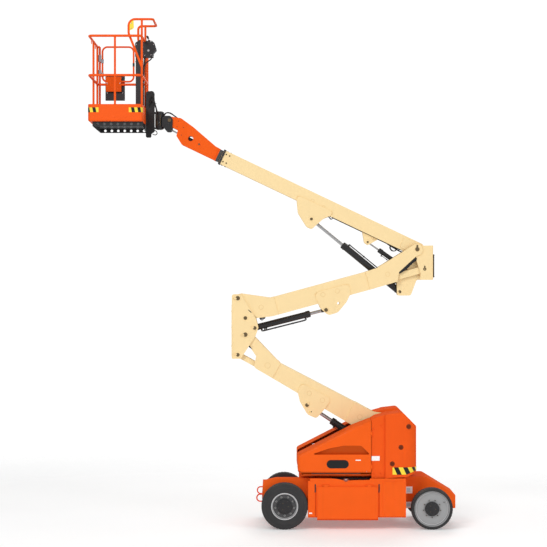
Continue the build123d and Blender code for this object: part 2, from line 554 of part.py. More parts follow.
def upright_2():
    """Second upright: side plates and web behind the boom's pin, cylinder lugs below."""
    x, z = BOOM_PIN
    rows = [(x - 45, z - 45, 44), (x - 45, z + 50, 44), (x + 217, z + 53, 20), (x + 217, z - 424, 20),
            (x + 42, z - 424, 20), (x + 46, z - 330, 60), (x + 4, z - 200, 60)]
    frame = pair(WORLD, rows, INNER_IN, INNER_OUT)
    frame += block((x + 207, x + 217), (-INNER_OUT, INNER_OUT), (z - 424, z + 53))
    lugs = [(x - 283, z - 330, 30), (x - 20, z - 122, 30), (x + 207, z - 122, 0), (x + 207, z - 420, 0),
            (x - 4, z - 424, 30), (x - 84, z - 642, 40), (x - 275, z - 642, 36)]
    frame += pair(WORLD, lugs, LUG_IN, LUG_OUT)
    frame += both_sides(block((x + 150, x + 192), (LUG_OUT, INNER_IN), (z - 400, z - 360)))
    pins = ((BOOM_PIN, ARM_PIN, FORK_OUT + 5), (add(BOOM_PIN, LINK_2), LINK_PIN, INNER_OUT),
            (add(BOOM_PIN, LIFT_BASE), BASE_PIN, LUG_OUT), (add(BOOM_PIN, MASTER_BASE), MASTER_PIN, LUG_OUT))
    for place, radius, half in pins:
        frame += disc(place, radius, -half, half)
    return frame


def bumper_pad():
    """Rubber pad on the back of the second upright."""
    x, z = BOOM_PIN
    return block((x + 217, x + 239), (-110, 110), (z - 390, z - 70))


# ---- cylinders -----------------------------------------------------------------------------

def cylinder(base, eye, bore_r, rod_r, head, base_pin, base_half, eye_half, eye_r, eye_pin_half,
             shut, guide):
    """A hydraulic cylinder between two pins: its barrel and its rod, which can shut by a stroke."""
    length = math.dist(base, eye)
    frame = Frame(*base, math.degrees(math.atan2(eye[1] - base[1], eye[0] - base[0])))
    axis = Axis(origin=(base[0], 0, base[1]), direction=frame.plane(0).x_dir)
    end_r = base_pin + 16
    inner, outer, floor = bore_r, bore_r + 7, end_r + 4
    rows = [(end_r * 0.6, 0), (end_r * 0.6, outer), (head - 50, outer), (head - 50, outer + 4),
            (head, outer + 4), (head, rod_r + FIT), (head - guide, rod_r + FIT), (head - guide, inner),
            (floor, inner), (floor, 0)]
    barrel = revolve(frame.plane(0) * outline([(x, y, 0) for x, y in rows]), axis=axis)
    barrel += disc(base, end_r, -base_half, base_half)
    barrel -= disc(base, base_pin + FIT, -base_half - 1, base_half + 1)
    inside = floor + shut
    rows = [(inside, 0), (inside, inner - FIT), (inside + guide, inner - FIT), (inside + guide, rod_r),
            (length - eye_r * 0.5, rod_r), (length - eye_r * 0.5, 0)]
    piston = revolve(frame.plane(0) * outline([(x, y, 0) for x, y in rows]), axis=axis)
    piston += disc(eye, eye_r, -eye_half, eye_half)
    piston += disc(eye, EYE_PIN, -eye_pin_half, eye_pin_half)
    return barrel, piston


CYLINDERS = {
    # name: base, eye, bore, rod, head, base pin, base half, eye half, eye radius, pin half, shut, guide
    "lower": (add(LOWER_PIN, LOWER_BASE), LOWER.point(*LOWER_EYE), 40, 24, 960, BASE_PIN, 45, 30, 36, 50,
              300, 30),
    "mid": (add(LOWER_TIP, MID_BASE), UPPER.point(*MID_EYE), 36, 22, 790, BASE_PIN, 45, 30, 36, 50, 135, 30),
    "lift": (add(BOOM_PIN, LIFT_BASE), BOOM.point(*LIFT_EYE), 38, 22, 1025, BASE_PIN, 50, 30, 36, 50, 315, 30),
    "master": (add(BOOM_PIN, MASTER_BASE), BOOM.point(*MASTER_EYE), 23, 12, 465, MASTER_PIN, 30, 22, 24, 38,
               160, 16),
    "slave": (BOOM.point(*SLAVE_BASE), SLAVE_EYE, 21, 11, 320, SLAVE_PIN, 30, 20, 22, 40, 76, 24),
}


# ---- boom ----------------------------------------------------------------------------------

def main_boom():
    """Main boom: rectangular tube on the boom pin, with doublers, a rod lug and a front collar."""
    hy, hz, wall = BOOM_HALF_Y, BOOM_HALF_Z, BOOM_WALL
    tube = BOOM.plate([(-80, -hz, 60), (-80, hz, 60), (BOOM_END, hz, 0), (BOOM_END, -hz, 0)], -hy, hy)
    tube -= BOOM.bar(-100, BOOM_END + 1, -hz + wall, hz - wall, -hy + wall, hy - wall)
    doubler = [(-76, -76, 70), (-76, 76, 70), (230, 76, 40), (230, -76, 40)]
    lug = [(1270, -30, 40), (1820, -30, 40), (1800, -100, 30), (1710, -250, 80), (1520, -372, 60),
           (1440, -372, 40), (1355, -170, 60), (1290, -100, 30)]
    tube += pair(BOOM, doubler, hy, hy + 8) + pair(BOOM, lug, hy, hy + 10)
    ear = [(540, -hz, 0), (790, -hz, 0), (700, -228, 30), (640, -240, 30)]
    tube += pair(BOOM, ear, 44, 54)
    pad_y, pad_z = FLY_HALF_Y + SEAT, FLY_HALF_Z + SEAT
    pads = BOOM.bar(BOOM_END - 90, BOOM_END, -hz + wall, hz - wall, -hy + wall, hy - wall)
    pads -= BOOM.bar(BOOM_END - 91, BOOM_END + 1, -pad_z, pad_z, -pad_y, pad_y)
    tube += pads
    tube -= through(BOOM_PIN, ARM_PIN + FIT)
    return tube


def boom_collar():
    """Dark wear-pad collar round the mouth of the main boom."""
    collar = BOOM.bar(BOOM_END, BOOM_END + COLLAR, -BOOM_HALF_Z - 8, BOOM_HALF_Z + 8,
                      -BOOM_HALF_Y - 8, BOOM_HALF_Y + 8)
    return collar - BOOM.bar(BOOM_END - 1, BOOM_END + COLLAR + 1, -FLY_HALF_Z - 3, FLY_HALF_Z + 3,
                             -FLY_HALF_Y - 3, FLY_HALF_Y + 3)


def fly_boom():
    """Telescoping section, guided in the main boom by pads at its back end."""
    hy, hz, wall = FLY_HALF_Y, FLY_HALF_Z, FLY_WALL
    fly = BOOM.bar(FLY_START, FLY_END, -hz, hz, -hy, hy)
    fly -= BOOM.bar(FLY_START - 1, FLY_END + 1, -hz + wall, hz - wall, -hy + wall, hy - wall)
    pad_y, pad_z = BOOM_HALF_Y - BOOM_WALL - SEAT, BOOM_HALF_Z - BOOM_WALL - SEAT
    pads = BOOM.bar(FLY_START, FLY_START + 90, -pad_z, pad_z, -pad_y, pad_y)
    pads -= BOOM.bar(FLY_START - 1, FLY_START + 91, -hz + wall, hz - wall, -hy + wall, hy - wall)
    return fly + pads


def boom_nose():
    """Fabricated nose: bent side plates closed above and below, open under the level cylinder."""
    rows = [(FLY_END, 90, 0), (3138, 95, 40), (3539, 205, 80), (3743, 243, 60), (3870, 205, 0),
            (3925, 175, 30), (3925, 105, 30), (3830, 92, 20), (3800, 76, 20), (3712, 76, 20),
            (3698, -8, 30), (3580, -84, 60), (3155, -86, 40), (FLY_END, -86, 0)]
    nose = BOOM.plate(rows, -NOSE_HALF, NOSE_HALF)
    inside = [(FLY_END + NOSE_WALL, 78, 0), (3140, 84, 30), (3542, 193, 70), (3742, 231, 40),
              (3860, 190, 0), (3990, 190, 0), (3990, -200, 0), (3640, -200, 0), (3560, -72, 20),
              (3155, -76, 30), (FLY_END + NOSE_WALL, -76, 0)]
    nose -= BOOM.plate(inside, -NOSE_HALF + NOSE_WALL, NOSE_HALF - NOSE_WALL)
    nose += BOOM.bar(FLY_END, FLY_END + NOSE_WALL, -BOOM_HALF_Z + 10, BOOM_HALF_Z - 10,
                     -FLY_HALF_Y - 6, FLY_HALF_Y + 6)
    nose -= through(BOOM.point(3500, 43), 35)
    nose += disc(BOOM.point(*SLAVE_BASE), SLAVE_PIN, -NOSE_HALF, NOSE_HALF)
    nose += disc(PIVOT, LEVEL_PIN, -NOSE_HALF - 24, NOSE_HALF + 24)
    return nose


# ---- platform head ---------------------------------------------------------------------------

def level_clevis():
    """Level clevis: two plates on the nose pin, carrying the platform's rotator barrel."""
    px, pz = PIVOT
    rows = [(px + 45, pz + 10, 44), (px + 20, pz + 62, 44), (px - 70, pz + 62, 20), (px - 92, pz + 40, 10),
            (px - 92, pz - 90, 10), (px - 35, pz - 158, 36), (px + 38, pz - 158, 36)]
    clevis = pair(WORLD, rows, NOSE_HALF + GAP, NOSE_HALF + GAP + 14)
    back = block((px - 104, px - 92), (-NOSE_HALF - GAP - 14, NOSE_HALF + GAP + 14), (pz - 90, pz + 40))
    barrel = post(ROTATOR_X, 0, 58, pz - 95, pz + 95)
    clevis += back + barrel
    clevis -= post(ROTATOR_X, 0, 30 + FIT, pz - 100, pz + 100)
    clevis -= disc(PIVOT, LEVEL_PIN + FIT, -100, 100)
    return clevis


def platform_support():
    """Rotating support: yoke round the rotator, a tall post, and the perforated floor frame."""
    pz = PIVOT[1]
    neck = ROTATOR_X - 113
    arms = block((neck, ROTATOR_X), (-40, 40), (pz - 118, pz - 95 - SEAT))
    arms += post(ROTATOR_X, 0, 60, pz - 118, pz - 95 - SEAT)
    arms += block((neck, ROTATOR_X), (-40, 40), (pz + 95 + SEAT, pz + 118))
    arms += post(ROTATOR_X, 0, 60, pz + 95 + SEAT, pz + 118)
    arms += post(ROTATOR_X, 0, 30, pz - 118, pz + 118)
    low, high, front = FLOOR_Z - 176, FLOOR_Z + 474, ROTATOR_X - 70
    rows = [(PLAT_RIGHT, low + 15, 20), (PLAT_RIGHT, high - 10, 40), (front, high, 40),
            (front, low + 82, 30), (front - 46, low + 52, 20), (front - 46, low, 20), (PLAT_RIGHT + 10, low, 15)]
    arms += WORLD.plate(rows, -POST_HALF, POST_HALF)
    return arms


def floor_frame():
    """Perforated frame under the platform's floor."""
    low, high = FLOOR_Z - 66, FLOOR_Z - 2
    frame = block((PLAT_LEFT + 60, PLAT_RIGHT - 6), (-PLAT_HALF + 45, PLAT_HALF - 45), (low, high))
    frame -= block((PLAT_LEFT + 66, PLAT_RIGHT - 12), (-PLAT_HALF + 51, PLAT_HALF - 51), (low - 1, high - 4))
    for row in range(7):
        frame -= disc((PLAT_LEFT + 130 + row * 92, FLOOR_Z - 36), 18, -PLAT_HALF, PLAT_HALF)
    return frame


def pan(inset, low):
    """The platform's pan, moved in by a wall: round corners, and a round edge below."""
    left, right, half = PLAT_LEFT + inset, PLAT_RIGHT - inset, PLAT_HALF - inset
    corner = PAN_CORNER - inset
    plan = outline([(left, -half, corner), (right, -half, corner), (right, half, corner), (left, half, corner)])
    solid = extrude(Plane.XY.offset(low) * plan, amount=TOE_TOP - low + (1 if inset else 0))
    return fillet(solid.faces().sort_by(Axis.Z)[0].edges(), PAN_EDGE - inset)


def platform_basket():
    """Platform: floor and toe boards, posts, rails and the raised guard over the controls."""
    basket = pan(0, FLOOR_Z - 2) - pan(4, FLOOR_Z + 4)
    left, right, side = PLAT_LEFT + RAIL_R, PLAT_RIGHT - RAIL_R, PLAT_HALF - RAIL_R
    guard_left, guard_right, guard_far, corner = PLAT_RIGHT - 197, PLAT_RIGHT + 138, 130.0, PAN_CORNER
    # x, y, top of each post
    posts = [(left, 0, TOP_RAIL), (left, side - corner, TOP_RAIL), (POST_MIDDLE, -side, TOP_RAIL),
             (right, -side + corner, GUARD_Z), (right, side - corner, TOP_RAIL),
             (right, guard_far, GUARD_Z), (GATE_POSTS[0], side, TOP_RAIL), (GATE_POSTS[1], side, TOP_RAIL)]
    for x, y, top in posts:
        basket += post(x, y, RAIL_R - 2, FLOOR_Z + 14, top)
    for z in (MID_RAIL, TOP_RAIL):
        points = [(GATE_POSTS[0], side, z), (left, side, z), (left, -side, z), (right, -side, z),
                  (right, side, z), (GATE_POSTS[1], side, z)]
        basket += bent_tube(points, [22, corner, corner, corner], RAIL_R)
    basket += rod((GATE_POSTS[0], side, MID_RAIL), (GATE_POSTS[1], side, MID_RAIL), RAIL_R)
    y = -side + corner
    points = [(right, y, TOP_RAIL - 420), (guard_left, y, TOP_RAIL + 40), (guard_left, y, GUARD_Z), (guard_right, y, GUARD_Z),
              (guard_right, guard_far, GUARD_Z), (guard_left + 80, guard_far, GUARD_Z),
              (guard_left + 80, guard_far, TOP_RAIL), (right, guard_far, TOP_RAIL)]
    basket += bent_tube(points, [90, 90, 50, 50, 50, 50], RAIL_R - 1)
    half, low = ANCHOR_R + 14, TOP_RAIL - ANCHOR_DROP - ANCHOR_R - 14
    for y in (-ANCHOR_Y, ANCHOR_Y):
        rows = [(y - half, TOP_RAIL - 5, 0), (y + half, TOP_RAIL - 5, 0), (y + half, low, 20), (y - half, low, 20)]
        eye = Plane(origin=(left - ANCHOR_THICK / 2, 0, 0), x_dir=(0, 1, 0), z_dir=(1, 0, 0))
        basket += extrude(eye * outline(rows), amount=ANCHOR_THICK)
        basket -= rod((left - 30, y, TOP_RAIL - ANCHOR_DROP), (left + 30, y, TOP_RAIL - ANCHOR_DROP), ANCHOR_R)
    return basket


def gate():
    """Entry gate: a bent tube frame on two hinge blocks."""
    y = PLAT_HALF - RAIL_R
    low, high = MID_RAIL + 42, TOP_RAIL
    rows = [(GATE_HINGE_X, low, 70), (GATE_HINGE_X, high, 70), (GATE_CATCH_X, high, 70),
            (GATE_CATCH_X, low, 70)]
    path = WORLD.plane(y) * outline(rows).face().outer_wire()
    start = path.position_at(0)
    return sweep(Plane(origin=start, z_dir=path.tangent_at(0)) * Circle(GATE_R), path=path)


def gate_hinges():
    """Two bored hinge blocks between the gate and its post."""
    y, blocks = PLAT_HALF - RAIL_R, []
    for z in (MID_RAIL + 142, MID_RAIL + 332):
        hinge = block((GATE_POSTS[0] + RAIL_R - 2, GATE_HINGE_X + 18), (y - 18, y + 16), (z - 26, z + 26))
        blocks.append(hinge - post(GATE_HINGE_X, y, GATE_R + FIT, z - 30, z + 30))
    return blocks


def control_console():
    """Control console on its column at the boom end of the platform."""
    x, z = PLAT_RIGHT, TOP_RAIL - 220
    column = block((x - 140, x - 42), (-40, 90), (FLOOR_Z + 4, z + 10))
    rows = [(x - 147, z, 10), (x - 147, z + 195, 30), (x - 78, z + 240, 20), (x + 118, z + 205, 30),
            (x + 148, z + 105, 20), (x + 108, z + 60, 20), (x + 98, z, 10)]
    console = column + WORLD.plate(rows, -60, 110)
    return console - rod((x - RAIL_R, -100, TOP_RAIL), (x - RAIL_R, 200, TOP_RAIL), RAIL_R + 1)


def manual_box():
    """Document box outside the far mid rail."""
    side = PLAT_HALF
    return block((POST_MIDDLE - 243, POST_MIDDLE + 32), (side + SEAT, side + 60), (MID_RAIL - 223, MID_RAIL + 122))


# ---- the machine ----------------------------------------------------------------------------

def build():
    """Every node by name: a solid, or a list of solids that don't touch."""
    nodes = {
        "chassis_frame": chassis_frame(),
        "axles": axles(),
        "battery_boxes": battery_boxes(),
        "batteries": batteries(),
        "tie_down_rings": tie_down_rings(),
        "slew_ring": slew_ring(),
        "battery_door_right": battery_door(),
        "battery_door_left": mirror(battery_door(), about=Plane.XZ),
        "tie_rod": tie_rod(),
        "turntable_frame": turntable_frame(),
        "counterweight": counterweight(),
        "power_pack": power_pack(),
        "lower_arm": lower_arm(),
        "lower_link": level_link(add(LOWER_PIN, LINK_1), add(LOWER_TIP, LINK_1), LOWER_LINK_HALF),
        "upright_1": upright_1(),
        "upper_arm": upper_arm(),
        "upper_link": level_link(add(UPPER_PIN, LINK_2), add(BOOM_PIN, LINK_2), UPPER_LINK_HALF),
        "upright_2": upright_2(),
        "bumper_pad": bumper_pad(),
        "main_boom": main_boom(),
        "boom_collar": boom_collar(),
        "fly_boom": fly_boom(),
        "boom_nose": boom_nose(),
        "level_clevis": level_clevis(),
        "platform_support": platform_support(),
        "floor_frame": floor_frame(),
        "platform_basket": platform_basket(),
        "gate": gate(),
        "gate_hinges": gate_hinges(),
        "control_console": control_console(),
        "manual_box": manual_box(),
    }
    for name, side in (("left", 1), ("right", -1)):
        nodes[f"rear_tyre_{name}"] = tyre(REAR_X, REAR_R, REAR_RIM_R, side)
        nodes[f"rear_rim_{name}"] = rim(REAR_X, REAR_R, REAR_RIM_R, side, 700, 100)
        nodes[f"front_tyre_{name}"] = tyre(FRONT_X, FRONT_R, FRONT_RIM_R, side)
        nodes[f"front_rim_{name}"] = rim(FRONT_X, FRONT_R, FRONT_RIM_R, side, 708, 95)
        nodes[f"knuckle_{name}"] = knuckle(side)
        nodes[f"hood_{name}"] = hood(side)
    for name, row in CYLINDERS.items():
        nodes[f"{name}_barrel"], nodes[f"{name}_rod"] = cylinder(*row)
    return nodes


def main():
    """Write one STEP file per node."""
    os.makedirs("parts", exist_ok=True)
    for name, solids in build().items():
        if isinstance(solids, list):
            solids = Compound(children=solids)
        export_step(solids, f"parts/{name}.step")


if __name__ == "__main__":
    main()
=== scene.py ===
"""Looks of the articulating boom lift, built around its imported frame.

Each sub-assembly is a class: its sizes are its fields, and its methods build its pieces and
dress them. Lengths are in metres, in the frame's own axes: +X points to the counterweight,
-X to the platform, -Y to the near side and +Z up.
"""

import json
import logging
import math
from dataclasses import dataclass, field
from enum import Enum
from typing import Callable, Optional, Sequence

import bmesh
import bpy
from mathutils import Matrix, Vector


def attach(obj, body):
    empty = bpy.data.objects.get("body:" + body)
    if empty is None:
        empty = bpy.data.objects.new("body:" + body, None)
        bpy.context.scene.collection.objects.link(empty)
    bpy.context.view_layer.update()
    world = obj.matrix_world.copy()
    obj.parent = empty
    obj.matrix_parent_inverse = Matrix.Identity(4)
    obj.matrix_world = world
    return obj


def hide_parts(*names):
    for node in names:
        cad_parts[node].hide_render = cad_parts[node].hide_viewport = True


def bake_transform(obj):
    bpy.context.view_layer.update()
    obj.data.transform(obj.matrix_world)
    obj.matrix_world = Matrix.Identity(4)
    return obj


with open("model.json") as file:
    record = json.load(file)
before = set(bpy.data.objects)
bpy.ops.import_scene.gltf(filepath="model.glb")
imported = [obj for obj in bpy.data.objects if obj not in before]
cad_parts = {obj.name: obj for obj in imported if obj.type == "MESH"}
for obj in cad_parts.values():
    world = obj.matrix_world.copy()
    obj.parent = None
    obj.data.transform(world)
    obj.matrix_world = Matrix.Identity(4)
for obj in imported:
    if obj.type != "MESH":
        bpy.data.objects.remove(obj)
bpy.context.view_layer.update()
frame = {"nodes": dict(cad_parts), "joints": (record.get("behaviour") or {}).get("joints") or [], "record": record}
LOG = logging.getLogger("boom_lift")

Point = tuple[float, float, float]
Colour = tuple[float, float, float]
Row = tuple[float, float]
Socket = bpy.types.NodeSocket
Tree = bpy.types.NodeTree
Node = bpy.types.Node

# The near side is -1 and the far side, the machine's left, is 1.
SIDES = (-1, 1)
WORD = {1: "left", -1: "right"}
OUTWARD = {side: (0.0, float(side), 0.0) for side in SIDES}
# Directions, and the ends of a turned ring that are both left unfilled.
UP: Point = (0, 0, 1)
TAILWARD: Point = (1, 0, 0)
AHEAD: Point = (-1, 0, 0)
NEARWARD: Point = (0, -1, 0)
OPEN = (False, False)

# Places that several classes share: the axles, the swing bearing and the plate on it, the start
# of the counterweight's hazard band, and the platform's rotator.
REAR_X, REAR_Z = 0.151, 0.316
FRONT_X, FRONT_Z = 2.147, 0.2825
BEARING_X, BASE_Z = 1.145, 0.737
BAND_X = 1.612
ROTATOR_X = -1.587


# ---- shader effects --------------------------------------------------------------------------

@dataclass
class Graph:
    """A node tree that is being wired."""

    tree: Tree

    def node(self, kind: str, links: Optional[dict] = None, **settings: object) -> Node:
        """Add a node.

        Args:
            kind: The node's type name.
            links: For each input, a socket to link from or a constant to set.
            settings: Properties of the node.

        Returns:
            The new node.
        """
        node = self.tree.nodes.new(kind)
        for key, value in settings.items():
            setattr(node, key, value)
        for socket, value in (links or {}).items():
            self.feed(node.inputs[socket], value)
        return node

    def feed(self, target: Socket, value: object) -> None:
        """Link a socket to the target, or set the target's constant.

        Args:
            target: The input socket.
            value: A socket to link from, or a constant.
        """
        if isinstance(value, Socket):
            self.tree.links.new(value, target)
        else:
            target.default_value = value

    def math(self, operation: str, a: object, b: object = 0.0, clamp: bool = False) -> Socket:
        """Add a Math node and return its result."""
        return self.node("ShaderNodeMath", {0: a, 1: b}, operation=operation,
                         use_clamp=clamp).outputs[0]

    def ramp(self, value: object, low: object, high: object, to_low: float = 0.0,
             to_high: float = 1.0) -> Socket:
        """Map a value smoothly from one span to another, and return the result."""
        node = self.node("ShaderNodeMapRange", {"Value": value, "From Min": low, "From Max": high,
                                                "To Min": to_low, "To Max": to_high},
                         interpolation_type="SMOOTHSTEP")
        return node.outputs["Result"]

    def rise(self) -> Socket:
        """How much the face points up."""
        normal = self.node("ShaderNodeNewGeometry").outputs["Normal"]
        return self.node("ShaderNodeSeparateXYZ", {0: normal}).outputs["Z"]

    def noise(self, scale: object, detail: float = 3.0, stretch: Point = (1, 1, 1)) -> Socket:
        """Noise in the piece's own metres.

        Args:
            scale: Cells for each metre.
            detail: Octaves.
            stretch: Factors on the three axes.

        Returns:
            The noise value.
        """
        place = self.node("ShaderNodeTexCoord").outputs["Object"]
        if stretch != (1, 1, 1):
            place = self.node("ShaderNodeMapping", {"Vector": place, "Scale": stretch}).outputs[0]
        node = self.node("ShaderNodeTexNoise", {"Vector": place, "Scale": scale, "Detail": detail})
        return node.outputs["Fac"]

    def blend(self, factor: object, a: object, b: object) -> Socket:
        """Mix two colours and return the result.

        Args:
            factor: How much of the second.
            a: The first colour.
            b: The second colour.

        Returns:
            The mixed colour.
        """
        node = self.node("ShaderNodeMix", data_type="RGBA")
        for index, value in ((0, factor), (6, a), (7, b)):
            if isinstance(value, tuple) and len(value) == 3:
                value = (*value, 1.0)
            self.feed(node.inputs[index], value)
        return node.outputs[2]


class Effects:
    """The shader node groups that the finishes share, each built once."""

    def __init__(self) -> None:
        """Build every group."""
        self.edge_wear_and_highlight = self._group("edge_wear_and_highlight", {"Width": 0.002, "Amount": 0.3, "Scale": 60.0},
                                     "Mask", self._edge_wear_and_highlight)
        self.settled_dust = self._group("settled_dust", {"Amount": 0.3, "Scale": 6.0}, "Mask",
                                        self._dust)
        self.mottle = self._group("mottle", {"Scale": 5.0, "Contrast": 0.1}, "Value", self._mottle)
        self.peel = self._group("peel", {"Scale": 300.0}, "Height", self._peel)
        self.run_marks = self._group("run_marks", {"Amount": 0.2, "Scale": 14.0}, "Mask",
                                     self._run_marks)
        self.cast_skin = self._group("cast_skin", {"Scale": 90.0}, "Height", self._cast_skin)
        # The group below paints shade into the colour of faces that point down.
        self.underside_shade = self._group("underside_shade", {"Amount": 0.5}, "Mask", self._underside_shade)

    @staticmethod
    def _group(name: str, inputs: dict[str, float], output: str,
               wire: Callable[[Graph, Node], Socket]) -> Tree:
        """Make one group.

        Args:
            name: The group's name.
            inputs: Its inputs and their first values.
            output: The name of its one output.
            wire: The function that wires it and returns the socket to put out.

        Returns:
            The group.
        """
        tree = bpy.data.node_groups.new(name, "ShaderNodeTree")
        for label, value in inputs.items():
            socket = tree.interface.new_socket(name=label, in_out="INPUT",
                                               socket_type="NodeSocketFloat")
            socket.default_value = value
        tree.interface.new_socket(name=output, in_out="OUTPUT", socket_type="NodeSocketFloat")
        graph = Graph(tree)
        start, end = graph.node("NodeGroupInput"), graph.node("NodeGroupOutput")
        tree.links.new(wire(graph, start), end.inputs[output])
        return tree

    @staticmethod
    def _edge_wear_and_highlight(graph: Graph, start: Node) -> Socket:
        """Where a rounded normal leaves the true one, broken up by noise: wear on most finishes, and a painted
        highlight where the edge colour is brighter.

        Args:
            graph: The tree that is being wired.
            start: The group's input node.

        Returns:
            The amount of wear.
        """
        soft = graph.node("ShaderNodeBevel", {"Radius": start.outputs["Width"]},
                          samples=4).outputs[0]
        true = graph.node("ShaderNodeNewGeometry").outputs["Normal"]
        dot = graph.node("ShaderNodeVectorMath", {0: soft, 1: true},
                         operation="DOT_PRODUCT").outputs["Value"]
        edge = graph.math("MULTIPLY", graph.math("SUBTRACT", 1.0, dot), 7.0, clamp=True)
        wear_and_highlight_patches = graph.ramp(graph.noise(start.outputs["Scale"], 5.0), 0.45, 0.62)
        patchy = graph.math("MULTIPLY", edge, graph.math("ADD", 0.25, wear_and_highlight_patches))
        return graph.math("MULTIPLY", patchy, start.outputs["Amount"], clamp=True)

    @staticmethod
    def _dust(graph: Graph, start: Node) -> Socket:
        """Dust on what faces up.

        Args:
            graph: The tree that is being wired.
            start: The group's input node.

        Returns:
            The amount of dust.
        """
        lying = graph.ramp(graph.rise(), 0.25, 1.0)
        patch = graph.ramp(graph.noise(start.outputs["Scale"], 6.0), 0.35, 0.7)
        return graph.math("MULTIPLY", graph.math("MULTIPLY", lying, patch), start.outputs["Amount"],
                          clamp=True)

    @staticmethod
    def _mottle(graph: Graph, start: Node) -> Socket:
        """A slow change of tone about one."""
        tone = graph.math("SUBTRACT", graph.noise(start.outputs["Scale"], 4.0), 0.5)
        return graph.math("ADD", 1.0, graph.math("MULTIPLY", tone, start.outputs["Contrast"]))

    @staticmethod
    def _peel(graph: Graph, start: Node) -> Socket:
        """The fine waves of sprayed paint."""
        return graph.noise(start.outputs["Scale"], 2.0)

    @staticmethod
    def _run_marks(graph: Graph, start: Node) -> Socket:
        """Faint marks that rain leaves down an upright face.

        Args:
            graph: The tree that is being wired.
            start: The group's input node.

        Returns:
            The amount of run marks.
        """
        marks = graph.ramp(graph.noise(start.outputs["Scale"], 4.0, (1.0, 1.0, 0.06)), 0.52, 0.75)
        upright = graph.math("SUBTRACT", 1.0, graph.math("ABSOLUTE", graph.rise()), clamp=True)
        return graph.math("MULTIPLY", graph.math("MULTIPLY", marks, upright),
                          start.outputs["Amount"], clamp=True)

    @staticmethod
    def _underside_shade(graph: Graph, start: Node) -> Socket:
        """Painted shade on faces that point down, darker the further they turn down."""
        down = graph.math("MULTIPLY", graph.rise(), -1.0)
        return graph.math("MULTIPLY", graph.ramp(down, 0.06, 0.16), start.outputs["Amount"],
                          clamp=True)

    @staticmethod
    def _cast_skin(graph: Graph, start: Node) -> Socket:
        """The uneven skin of a sand casting.

        Args:
            graph: The tree that is being wired.
            start: The group's input node.

        Returns:
            The height of the skin.
        """
        coarse = graph.noise(start.outputs["Scale"], 6.0)
        broad = graph.noise(9.0, 2.0)
        return graph.math("ADD", graph.math("MULTIPLY", coarse, 0.35), broad)


EFFECTS = Effects()


# ---- finishes --------------------------------------------------------------------------------

@dataclass(frozen=True)
class Finish:
    """One surface finish, which is made into a material when it is first used."""

    label: str
    colour: Colour
    roughness: float
    slot: str
    metallic: float = 0.0
    coat: float = 0.0
    specular: float = 0.5
    mottle_scale: float = 4.0
    mottle: float = 0.10
    wear_and_highlight: float = 0.0
    wear_and_highlight_width: float = 0.002
    wear_and_highlight_colour: Colour = (0.16, 0.15, 0.15)
    dust: float = 0.04
    runs: float = 0.0
    bump_scale: float = 260.0
    bump: float = 0.05
    bump_depth: float = 0.0006
    cast: bool = False
    underside_shade: float = 0.0

    def effect(self, graph: Graph, tree: Tree, **values: float) -> Socket:
        """Place a shared group with its own values and return what it puts out.

        Args:
            graph: The tree that is being wired.
            tree: The effect's node group.
            **values: The group's inputs.

        Returns:
            The effect's output.
        """
        node = graph.node("ShaderNodeGroup", node_tree=tree)
        for label, value in values.items():
            node.inputs[label.capitalize()].default_value = value
        return node.outputs[0]

    def base(self, graph: Graph) -> Socket:
        """The bare colour, before wear and dust, and return its socket.

        Args:
            graph: The tree that is being wired.

        Returns:
            The base colour.
        """
        tone = self.effect(graph, EFFECTS.mottle, scale=self.mottle_scale, contrast=self.mottle)
        node = graph.node("ShaderNodeVectorMath", {0: self.colour}, operation="SCALE")
        graph.feed(node.inputs["Scale"], tone)
        return node.outputs[0]

    def material(self) -> bpy.types.Material:
        """Build the material.

        Returns:
            The material, with its colour, roughness and relief wired.
        """
        made = bpy.data.materials.new(self.label)
        made.use_nodes = True
        tree = made.node_tree
        tree.nodes.clear()
        graph = Graph(tree)
        shader = graph.node("ShaderNodeBsdfPrincipled",
                            {"Roughness": self.roughness, "Metallic": self.metallic,
                             "Coat Weight": self.coat, "Coat Roughness": 0.12,
                             "Specular IOR Level": self.specular})
        out = graph.node("ShaderNodeOutputMaterial")
        tree.links.new(shader.outputs[0], out.inputs["Surface"])
        colour = self.base(graph)
        rough = graph.math("ADD", self.roughness - 0.04,
                           graph.math("MULTIPLY", graph.noise(18.0, 4.0), 0.09))
        if self.runs:
            runs = self.effect(graph, EFFECTS.run_marks, amount=self.runs)
            colour = graph.blend(runs, colour, tuple(c * 0.55 for c in self.colour))
        # Painted shade: faces that point down are darkened towards 45 % of the colour.
        if self.underside_shade:
            underside_shade_mask = self.effect(graph, EFFECTS.underside_shade, amount=self.underside_shade)
            colour = graph.blend(underside_shade_mask, colour, tuple(c * 0.45 for c in self.colour))
        # Edges blend to the edge colour: wear on most finishes, and on the orange ones a brighter orange that is a
        # painted highlight.
        if self.wear_and_highlight:
            wear_and_highlight_patches = self.effect(graph, EFFECTS.edge_wear_and_highlight, width=self.wear_and_highlight_width, amount=self.wear_and_highlight)
            colour = graph.blend(wear_and_highlight_patches, colour, self.wear_and_highlight_colour)
            rough = graph.math("ADD", rough, graph.math("MULTIPLY", wear_and_highlight_patches, 0.2))
        if self.dust:
            dust = self.effect(graph, EFFECTS.settled_dust, amount=self.dust)
            colour = graph.blend(dust, colour, (0.42, 0.37, 0.31))
            rough = graph.math("ADD", rough, graph.math("MULTIPLY", dust, 0.4), clamp=True)
        graph.feed(shader.inputs["Base Color"], colour)
        graph.feed(shader.inputs["Roughness"], rough)
        skin = EFFECTS.cast_skin if self.cast else EFFECTS.peel
        height = self.effect(graph, skin, scale=self.bump_scale)
        relief = graph.node("ShaderNodeBump", {"Strength": self.bump, "Distance": self.bump_depth,
                                               "Height": height})
        tree.links.new(relief.outputs["Normal"], shader.inputs["Normal"])
        return made


